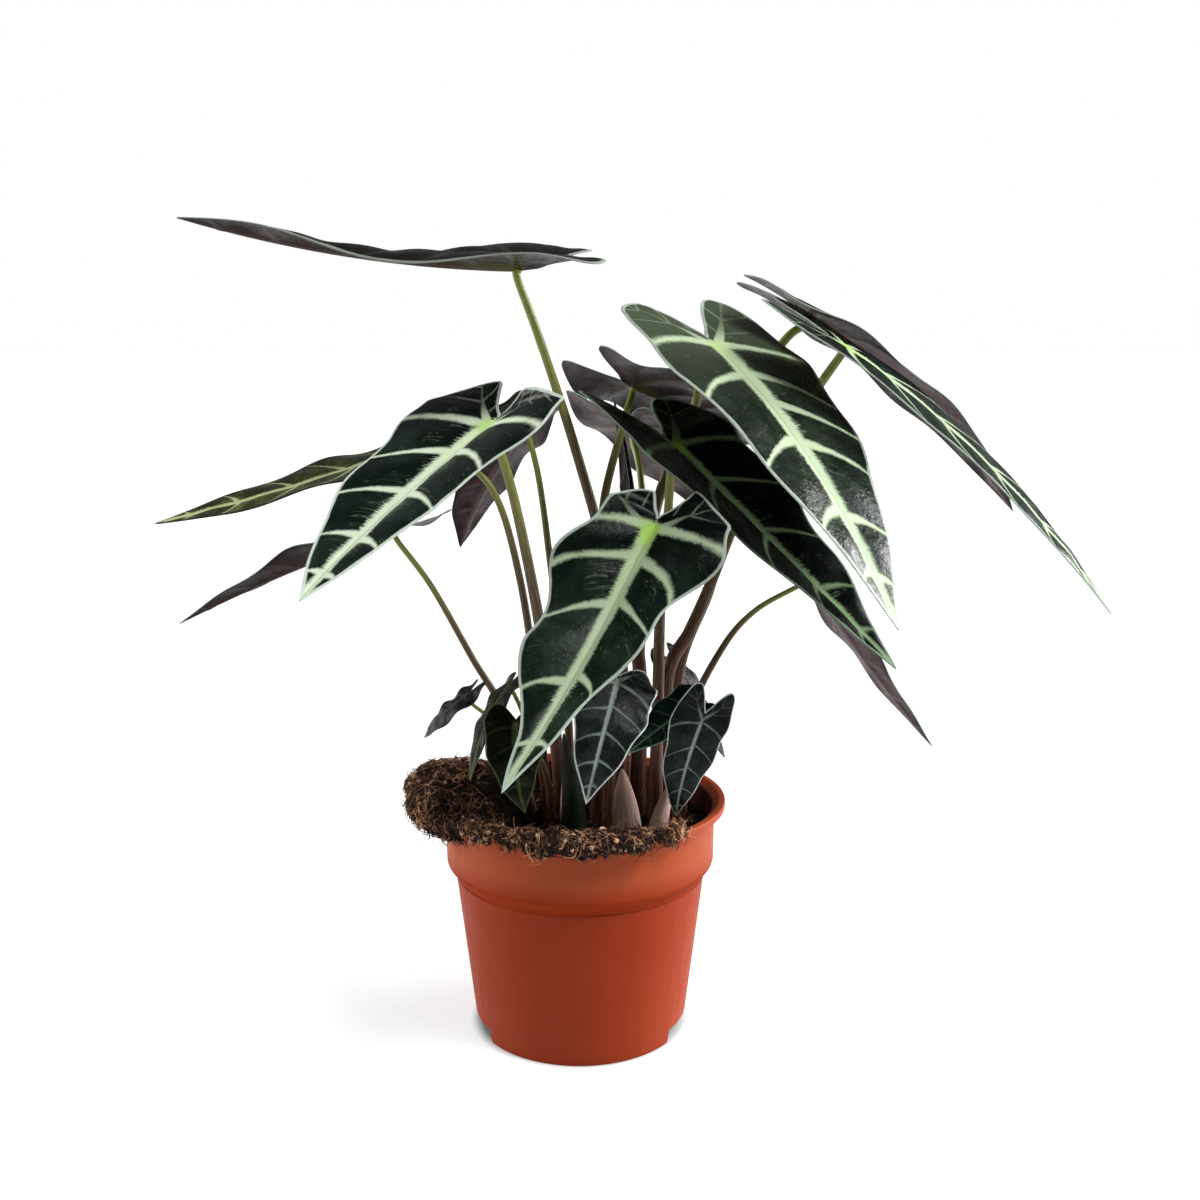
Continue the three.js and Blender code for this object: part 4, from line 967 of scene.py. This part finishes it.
def stalk_line(leaf):
    """Points along a stalk, from inside the mix to the underside of its blade, and how far along each is."""
    point, _, normal = midrib_at(leaf, np.array([0.0]))
    x, y = leaf["foot"]
    end = SKIN / 2 + KEEL_DEPTH * (leaf["width"] / KEEL_WIDTH) * 0.6
    anchors = [(x, y, STALK_SUNK), (x, y, SOIL_EDGE + 4), *leaf["stalk"],
               point[0] - STALK_APPROACH * normal[0], point[0] - end * normal[0]]
    anchors = np.array(anchors, float)
    before = 2 * anchors[0] - anchors[1]
    after = 2 * anchors[-1] - anchors[-2]
    padded = np.concatenate([[before], anchors, [after]])
    spans = len(anchors) - 1
    length = np.sum(np.linalg.norm(np.diff(anchors, axis=0), axis=1))
    steps = int(length / STALK_STEP)
    part = np.linspace(0, spans, steps + 1)
    k = np.minimum(part.astype(int), spans - 1)
    u = (part - k)[:, None]
    p0, p1, p2, p3 = (padded[k + shift] for shift in range(4))
    start, stop = (p2 - p0) / 2, (p3 - p1) / 2
    curve = (p1 + start * u + (-3 * p1 + 3 * p2 - 2 * start - stop) * u ** 2
             + (2 * p1 - 2 * p2 + start + stop) * u ** 3)
    return curve, part / spans


def tube_frames(curve):
    """Two directions across a curve at each of its points, turning as little as they can."""
    along = unit(np.gradient(curve, axis=0))
    across = [unit(np.cross(along[0], (0.3, 1.0, 0.1)))]
    for direction in along[1:]:
        kept = across[-1] - np.dot(across[-1], direction) * direction
        across.append(unit(kept))
    across = np.array(across)
    return across, np.cross(along, across)


def tube_mesh(name, curve, radii, sides):
    """Closed tube along a curve; its points know how far along and round they are."""
    across, third = tube_frames(curve)
    turn = np.linspace(0, 2 * np.pi, sides, endpoint=False)
    ring = across[:, None] * np.cos(turn)[:, None] + third[:, None] * np.sin(turn)[:, None]
    points = (curve[:, None] + ring * radii[:, :, None]).reshape(-1, 3)
    numbers = np.arange(len(points)).reshape(len(curve), sides)
    faces = grid_faces(numbers, wrap=True).tolist()
    faces += [numbers[0][::-1].tolist(), numbers[-1].tolist()]
    step = np.linalg.norm(np.diff(curve, axis=0), axis=1)
    run = np.concatenate([[0], np.cumsum(step)])
    run_all, turn_all = np.meshgrid(run, turn, indexing="ij")
    strip = np.stack([np.cos(turn_all) * 3, np.sin(turn_all) * 3, run_all], axis=-1).reshape(-1, 3)
    return make_mesh(name, points, faces, {"along": run_all / run[-1]}, {"strip": strip})


def stalk_mesh(leaf, seed):
    """A stalk: thicker and slightly oval at its foot, with a small swelling at the blade."""
    curve, part = stalk_line(leaf)
    foot, top = leaf["thick"]
    radius = top + (foot - top) * (1 - part) ** 1.6
    joint = 0.18 * top * np.exp(-((1 - part) / 0.03) ** 2)
    turn = np.linspace(0, 2 * np.pi, STALK_SIDES, endpoint=False)
    height = curve[:, 2] - SOIL_EDGE
    clasp = 0.16 * foot * (1 - smoothstep(height, 4, 34))
    oval = 1 + 0.07 * np.cos(2 * turn + seed)[None] * (1 - part)[:, None]
    radii = (radius + joint + clasp)[:, None] * oval
    return tube_mesh("stalk_" + leaf["name"], curve, radii, STALK_SIDES)


def sheath_mesh(sheath):
    """A tapering sheath, curved round the stalks behind it, with ribs along it."""
    rows, columns = 40, 22
    x, y = sheath["foot"]
    turn = math.radians(sheath["looks"])
    out = np.array([math.sin(turn), -math.cos(turn), 0])
    side = np.array([math.cos(turn), math.sin(turn), 0])
    part, across = np.meshgrid(np.linspace(0, 0.998, rows), np.linspace(-1, 1, columns), indexing="ij")
    width = sheath["width"] / 2 * (1 - part ** 1.6) ** 0.8
    foot = np.array([x, y, STALK_SUNK - 2])
    height = SOIL_EDGE + sheath["height"] - foot[2]
    offset = across * width + sheath["lean"] * part ** 2
    bulge = 2 * part ** 2 - 0.55 * width * across ** 2 + 0.12 * np.cos(9 * np.pi * across) * (1 - part)
    points = (foot + part[..., None] * [0, 0, height] + offset[..., None] * side
              + bulge[..., None] * out)
    normals = unit(np.cross(np.gradient(points, axis=1), np.gradient(points, axis=0)))
    numbers = np.arange(rows * columns).reshape(rows, columns)
    front = grid_faces(numbers)
    faces = skin_faces(front, rows * columns)
    skin = points.reshape(-1, 3)[None] + np.array([0.35, -0.35])[:, None, None] * normals.reshape(-1, 3)
    values = {"along": np.tile(part.ravel(), 2), "across": np.tile(across.ravel(), 2)}
    return make_mesh(sheath["name"], skin.reshape(-1, 3), faces, values)


def pot_profile():
    """Section of the pot on one side of its axis, from the underside round the lip to the inside."""
    floor_top = FLOOR_UNDERSIDE + WALL
    return [
        (0, 0), (CENTRE_PAD_RADIUS, 0), (CENTRE_PAD_RADIUS, FLOOR_UNDERSIDE),
        (FOOT_RADIUS - WALL, FLOOR_UNDERSIDE), (FOOT_RADIUS - WALL, 0), (FOOT_RADIUS, 0),
        (STEP_RADIUS, STEP_FOOT), (STEP_RADIUS + 0.7, STEP_FOOT + 2),
        (COLLAR_RADIUS - 0.7, COLLAR_FOOT - 1.2), (COLLAR_RADIUS - 0.2, COLLAR_FOOT),
        (COLLAR_RADIUS, LIP_TOP - LIP_HEIGHT), (LIP_RADIUS, LIP_TOP - LIP_HEIGHT), (LIP_RADIUS, LIP_TOP),
        (LIP_RADIUS - LIP_BAND, LIP_TOP), (COLLAR_RADIUS - WALL, LIP_TOP - LIP_BAND),
        (COLLAR_RADIUS - WALL - 0.2, COLLAR_FOOT),
        (STEP_RADIUS - WALL + 0.7, STEP_FOOT + 2), (FOOT_RADIUS - WALL + 0.8, floor_top), (0, floor_top),
    ]


def rounded(profile, radius, steps=4):
    """The profile with each of its corners rounded off."""
    points = np.array(profile, float)
    made = [points[0]]
    for before, corner, after in zip(points[:-2], points[1:-1], points[2:]):
        back, ahead = before - corner, after - corner
        reach = min(radius, np.linalg.norm(back) * 0.4, np.linalg.norm(ahead) * 0.4)
        first, last = corner + unit(back) * reach, corner + unit(ahead) * reach
        for u in np.linspace(0, 1, steps + 1):
            made.append((1 - u) ** 2 * first + 2 * u * (1 - u) * corner + u ** 2 * last)
    made.append(points[-1])
    return np.array(made)


def lathe(profile, sides):
    """Points and faces of a profile turned round the Z axis; its ends lie on the axis."""
    turn = np.linspace(0, 2 * np.pi, sides, endpoint=False)
    ring = np.stack([np.cos(turn), np.sin(turn)], axis=1)
    inner = profile[1:-1]
    points = [[inner[k, 0] * x, inner[k, 0] * y, inner[k, 1]] for k in range(len(inner)) for x, y in ring]
    numbers = np.arange(len(points)).reshape(len(inner), sides)
    first, last = len(points), len(points) + 1
    points += [[0, 0, profile[0][1]], [0, 0, profile[-1][1]]]
    return points, capped_faces(numbers, first, last)


def notch_cutter():
    """The boxes that cut the notches out of the foot, and the round pins that cut the drain holes."""
    shape = bmesh.new()
    width = 2 * FOOT_RADIUS * math.sin(math.radians(NOTCH_HALF_ANGLE))
    for angle in NOTCH_ANGLES:
        turn = Matrix.Rotation(math.radians(angle), 4, "Z")
        centre = Matrix.Translation(Vector((FOOT_RADIUS, 0, NOTCH_HEIGHT / 2 - 0.5)) * MM)
        size = Matrix.Diagonal((NOTCH_REACH * MM, width * MM, (NOTCH_HEIGHT + 1) * MM, 1))
        bmesh.ops.create_cube(shape, size=1, matrix=turn @ centre @ size)
    for k in range(DRAIN_COUNT):
        turn = (k + 0.5) * 2 * math.pi / DRAIN_COUNT
        centre = (DRAIN_RING * math.cos(turn), DRAIN_RING * math.sin(turn), FLOOR_UNDERSIDE + WALL / 2)
        bmesh.ops.create_cone(shape, cap_ends=True, segments=32, radius1=DRAIN_RADIUS * MM,
                              radius2=DRAIN_RADIUS * MM, depth=4 * WALL * MM,
                              matrix=Matrix.Translation(Vector(centre) * MM))
    mesh = bpy.data.meshes.new("cutter")
    shape.to_mesh(mesh)
    shape.free()
    return mesh


def pot_mesh():
    """The pot turned from its profile, less its notches and drain holes."""
    points, faces = lathe(rounded(pot_profile(), MOULDED_EDGE), POT_SIDES)
    mesh = make_mesh("pot_turned", points, faces)
    body = in_scene("pot_turned", mesh)
    cutter = in_scene("cutter", notch_cutter())
    cut = body.modifiers.new("cut", "BOOLEAN")
    cut.operation = "DIFFERENCE"
    cut.solver = "EXACT"
    cut.object = cutter
    bpy.context.view_layer.update()
    result = bpy.data.meshes.new_from_object(body.evaluated_get(bpy.context.evaluated_depsgraph_get()))
    for item in (body, cutter):
        bpy.data.objects.remove(item)
    result.name = "pot_shell"
    result.shade_smooth()
    result.set_sharp_from_angle(angle=math.radians(40))
    return result


def soil_height(x, y):
    """Height of the mix inside the pot, without its roughness."""
    mound = SOIL_MOUND * np.exp(-((x - 4) ** 2 + (y - 2) ** 2) / 900)
    front_bank = 6 * smoothstep(-y - 0.25 * x, 26, 50)
    left_bank = 9 * smoothstep(-x, 22, 46)
    return SOIL_EDGE + mound + np.maximum(front_bank, left_bank)


def rough(points, seed):
    """Height of the lumps and grain of the mix at each point, in millimetres."""
    return 1.7 * noise_at(points, 0.13, seed) + 0.9 * noise_at(points, 0.42, seed + 1, 4)


def mix_bed():
    """The filling of the pot: a rough top over a side and underside that follow the pot's inside."""
    wall = COLLAR_RADIUS - WALL - MIX_CLEARANCE
    low = FLOOR_UNDERSIDE + WALL + MIX_CLEARANCE
    turn = np.linspace(0, 2 * np.pi, POT_SIDES, endpoint=False)
    radii = wall * np.linspace(0, 1, 64)[1:] ** 0.8
    x, y = radii[:, None] * np.cos(turn), radii[:, None] * np.sin(turn)
    top = np.stack([x, y, soil_height(x, y)], axis=-1)
    lift = rough(top.reshape(-1, 3), 3).reshape(x.shape)
    top[..., 2] += lift
    rings = [(FOOT_RADIUS - WALL + 0.2, low), (STEP_RADIUS - WALL - MIX_CLEARANCE, STEP_FOOT),
             (wall - 0.3, COLLAR_FOOT + 1)]
    side = [np.stack([r * np.cos(turn), r * np.sin(turn), np.full(POT_SIDES, z)], axis=-1) for r, z in rings]
    layers = np.concatenate([np.array(side), top[::-1]])
    numbers = np.arange(layers.shape[0] * POT_SIDES).reshape(layers.shape[0], POT_SIDES)
    points = np.concatenate([layers.reshape(-1, 3), [[0, 0, low], [0, 0, soil_height(0, 0)]]])
    return points, capped_faces(numbers, len(points) - 2, len(points) - 1)


def mix_lump():
    """The lump of root ball that bulges over the rim on the left."""
    ball, faces = ball_shape(7)
    box = 1 / np.maximum(np.sum(np.abs(ball) ** 3, axis=1), 0.2) ** 0.18
    points = ball * box[:, None] * LUMP_SIZE + LUMP_CENTRE
    points[:, 2] -= LUMP_LEAN * ball[:, 0] * LUMP_SIZE[0]
    points += unit(ball) * (rough(points, 11) - 0.5)[:, None]
    return points, faces


def mix_spill():
    """Crumbs pressed together over the front of the rim, as one ragged roll."""
    steps, sides = 260, 26
    part = np.linspace(0, 1, steps)[:, None]
    angle = np.linspace(0, 2 * np.pi, sides, endpoint=False)[None]
    turn = np.radians(SPILL_FROM + (SPILL_TO - SPILL_FROM) * part)
    taper = np.minimum(1, np.minimum(5 * part + 0.35, 4 * (1 - part) + 0.15))
    taper = taper * (1 - SPILL_DIP * np.exp(-((part - 0.38) / 0.12) ** 2))
    across = np.where(np.cos(angle) < 0, 2, 0.9) * np.cos(angle)
    tall = np.where(np.sin(angle) < 0, 1.5, 1) * np.sin(angle)
    radius = SPILL_RADIUS + SPILL_ACROSS * taper * 0.85 * across
    height = SPILL_HEIGHT + SPILL_TALL * taper * 0.85 * tall
    points = np.stack([radius * np.cos(turn), radius * np.sin(turn), height + 0 * turn], axis=-1)
    push = np.stack([np.cos(angle) * np.cos(turn), np.cos(angle) * np.sin(turn),
                     np.sin(angle) + 0 * turn], axis=-1)
    lift = rough(points.reshape(-1, 3), 19).reshape(steps, sides, 1)
    points = points + push * lift * 1.2
    numbers = np.arange(steps * sides).reshape(steps, sides)
    faces = [face[::-1] for face in grid_faces(numbers, wrap=True).tolist()]
    faces += [numbers[0].tolist(), numbers[-1][::-1].tolist()]
    return points.reshape(-1, 3), faces


def seats_on(mesh, random, count, inside):
    """Random points of a body of mix, within the rim or near and over it, and their normals."""
    points = np.array([point.co for point in mesh.vertices]) / MM
    normals = np.array([point.normal for point in mesh.vertices])
    radius = np.hypot(points[:, 0], points[:, 1])
    rim = COLLAR_RADIUS - WALL
    in_reach = radius < rim - 1 if inside else radius > rim - 14
    good = np.nonzero((points[:, 2] > SOIL_EDGE - 6) & (normals[:, 2] > -0.6) & in_reach)[0]
    chosen = random.choice(good, count)
    return points[chosen], normals[chosen]


def patchy_tones(seats, random, power):
    """A tone for each loose piece, lighter and darker in patches."""
    patch = np.clip(0.75 + 1.1 * noise_at(seats, 0.16, 31, 2), 0.15, 1.4)
    return np.clip(random.random(len(seats)) ** power * patch, 0, 1)


def crumbs_mesh(name, seats, normals, random):
    """Angular crumbs, each an uneven little lump pressed onto its seat."""
    ball, ball_faces = ball_shape(1)
    count = len(seats)
    size = CRUMB_SIZE[0] + (CRUMB_SIZE[1] - CRUMB_SIZE[0]) * random.random(count) ** 2.5
    stretch = 0.5 + 1.0 * random.random((count, 1, 3))
    jag = 0.6 + 0.8 * random.random((count, len(ball), 1))
    points = seats[:, None] + ball[None] * stretch * jag * size[:, None, None]
    points = points + normals[:, None] * size[:, None, None] * 0.35
    faces = ball_faces[None] + (np.arange(count) * len(ball))[:, None, None]
    tone = np.repeat(patchy_tones(seats, random, 2.0), len(ball))
    return make_mesh(name, points.reshape(-1, 3), faces.reshape(-1, 3), {"tone": tone})


def fibres_mesh(name, seats, normals, random):
    """Thin strands of coir that lie on the mix, curl along it and stand a little out of it."""
    rings, sides = 14, 3
    count = len(seats)
    length = FIBRE_LENGTH[0] + (FIBRE_LENGTH[1] - FIBRE_LENGTH[0]) * random.random((count, 1, 1)) ** 2
    down = -normals[:, 2:] * normals
    down[:, 2] += 1
    heading = unit(np.cross(normals, random.normal(size=(count, 3))) + FIBRE_HANG * down)
    third = np.cross(heading, normals)
    u = np.linspace(-0.5, 0.5, rings)[None, :, None]
    beat = 2 * np.pi * (u * length / (4 + 5 * random.random((count, 1, 1))) + random.random((count, 1, 1)))
    curl = FIBRE_CURL * random.random((count, 1, 1)) * np.sin(beat)
    bow = (random.random((count, 1, 1)) - 0.5) * length * (4 * u ** 2 - 0.3)
    stand = 0.4 + 0.5 * random.random((count, 1, 1)) * (1 + np.sin(beat * 0.7 + 1.3))
    sink = 2.2 * u ** 2 * length ** 2 / 60
    lines = (seats[:, None] + heading[:, None] * u * length + third[:, None] * (curl + bow * 0.6)
             + normals[:, None] * (stand - sink))
    turn = np.linspace(0, 2 * np.pi, sides, endpoint=False)
    ring = normals[:, None] * np.cos(turn)[:, None] + third[:, None] * np.sin(turn)[:, None]
    thin = FIBRE_RADIUS * (0.5 + 0.9 * random.random((count, 1, 1, 1))) * (1 - 1.7 * u[..., None] ** 2)
    points = lines[:, :, None] + ring[:, None] * thin
    numbers = np.arange(rings * sides).reshape(rings, sides)
    strand = grid_faces(numbers, wrap=True)
    faces = (strand[None] + (np.arange(count) * rings * sides)[:, None, None]).reshape(-1, 4).tolist()
    for k in range(count):
        start = k * rings * sides
        faces.append([start + 2, start + 1, start])
        faces.append([start + rings * sides - 3, start + rings * sides - 2, start + rings * sides - 1])
    tone = np.repeat(patchy_tones(seats, random, 1.8), rings * sides)
    return make_mesh(name, points.reshape(-1, 3), faces, {"tone": tone})


def dress_leaves():
    """A blade and a stalk for each leaf."""
    tops = {key: blade_top("blade_" + key, finish) for key, finish in BLADE_FINISHES.items()}
    undersides = {key: blade_underside("underside_" + key, finish) for key, finish in UNDERSIDES.items()}
    stalk = stalk_material()
    for seed, leaf in enumerate(LEAVES):
        name = leaf["name"]
        skins = (tops[FINISH_OF.get(name, "deep")], undersides[UNDERSIDE_OF.get(name, "purple")])
        place_piece("leaf_" + name, blade_mesh(leaf, seed), skins, "leaf_blade", "blade_" + name)
        place_piece("petiole_" + name, stalk_mesh(leaf, seed), (stalk,), "leaf_stalk", "stalk_" + name)


def dress_sheaths():
    """The dry sheaths and the green rolled leaf."""
    dry = sheath_material("sheath_dry", SHEATH_COLOURS, 0.6)
    green = sheath_material("sheath_green", SPEAR_COLOURS, 0.4)
    for sheath in SHEATHS:
        rolled = sheath["name"] == "green_spear"
        slot = "rolled_leaf" if rolled else "sheath"
        mesh = closed(sheath_mesh(sheath))
        place_piece("skin_" + sheath["name"], mesh, (green if rolled else dry,), slot, sheath["name"])


def dress_mix():
    """The three bodies of mix, each with its loose crumbs and strands."""
    random = np.random.default_rng(5)
    coir = mix_material()
    crumb = loose_material("crumb_bark", CRUMB_COLOURS, 700.0)
    strand = loose_material("strand_coir", FIBRE_COLOURS, 1200.0)
    shapes = {"mix_bed": mix_bed, "mix_lump": mix_lump, "mix_spill": mix_spill}
    for name, (crumb_share, strand_share) in MIX_SHARES.items():
        mesh = closed(make_mesh(name, *shapes[name]()))
        inside = name == "mix_bed"
        nodes = ("soil",) if inside else ()
        place_piece(name, mesh, (coir,), "potting_mix", *nodes)
        seats = seats_on(mesh, random, int(CRUMB_COUNT * crumb_share), inside)
        crumbs = crumbs_mesh(name + "_crumbs", *seats, random)
        place_piece(name + "_crumbs", crumbs, (crumb,), "potting_mix")
        seats = seats_on(mesh, random, int(FIBRE_COUNT * strand_share), inside)
        strands = fibres_mesh(name + "_strands", *seats, random)
        place_piece(name + "_strands", strands, (strand,), "potting_mix")


def build_floor():
    """White floor, in rings that widen outward."""
    turn = np.linspace(0, 2 * np.pi, FLOOR_SIDES, endpoint=False)
    radii = FLOOR_RADIUS * np.linspace(0, 1, FLOOR_RINGS + 1)[1:] ** 3
    rings = np.stack([radii[:, None] * np.cos(turn), radii[:, None] * np.sin(turn),
                      np.full((FLOOR_RINGS, FLOOR_SIDES), -FLOOR_DROP)], axis=-1)
    numbers = np.arange(FLOOR_RINGS * FLOOR_SIDES).reshape(FLOOR_RINGS, FLOOR_SIDES)
    faces = grid_faces(numbers, wrap=True).tolist() + [numbers[0].tolist()]
    floor = in_scene("floor", make_mesh("floor", rings.reshape(-1, 3), faces))
    floor.data.materials.append(floor_material())


def build_world():
    """Surroundings that are white to the camera and dimmer on the plant."""
    world = bpy.data.worlds.new("studio")
    bpy.context.scene.world = world
    world.use_nodes = True
    tree = world.node_tree
    sky = tree.nodes["Background"]
    path = tree.nodes.new("ShaderNodeLightPath")
    level = tree.nodes.new("ShaderNodeMapRange")
    level.inputs["To Min"].default_value = WORLD_LIGHT
    level.inputs["To Max"].default_value = 1.0
    tree.links.new(path.outputs["Is Camera Ray"], level.inputs["Value"])
    tree.links.new(level.outputs["Result"], sky.inputs["Strength"])
    sky.inputs["Color"].default_value = (1, 1, 1, 1)


def facing(right, up):
    """Direction that lies so many degrees to the right of the front and so many up."""
    right, up = math.radians(right), math.radians(up)
    return math.sin(right) * math.cos(up), -math.cos(right) * math.cos(up), math.sin(up)


def build_suns():
    """Soft light from the right and front, and from low down at both sides."""
    for name, strength, spread, right, up in SUNS:
        light = bpy.data.lights.new(name, "SUN")
        light.energy = strength
        light.angle = math.radians(spread)
        lamp = in_scene(name, light)
        lamp.rotation_euler = Vector(facing(right, up)).to_track_quat("Z", "Y").to_euler()


def build_camera():
    """The camera of the photograph."""
    data = bpy.data.cameras.new("photo_view")
    data.lens = CAMERA_LENS
    data.sensor_width = SENSOR
    data.clip_start = 0.01
    camera = in_scene("photo_view", data)
    camera.location = Vector(CAMERA_PLACE) * MM
    camera.rotation_euler = (math.radians(90 - CAMERA_DOWN), 0, 0)
    bpy.context.scene.camera = camera


build_camera()
build_floor()
build_world()
build_suns()
place_piece("pot_shell", pot_mesh(), (pot_material(),), "pot", "pot")
dress_leaves()
dress_sheaths()
dress_mix()
bpy.context.scene.view_settings.view_transform = "Standard"
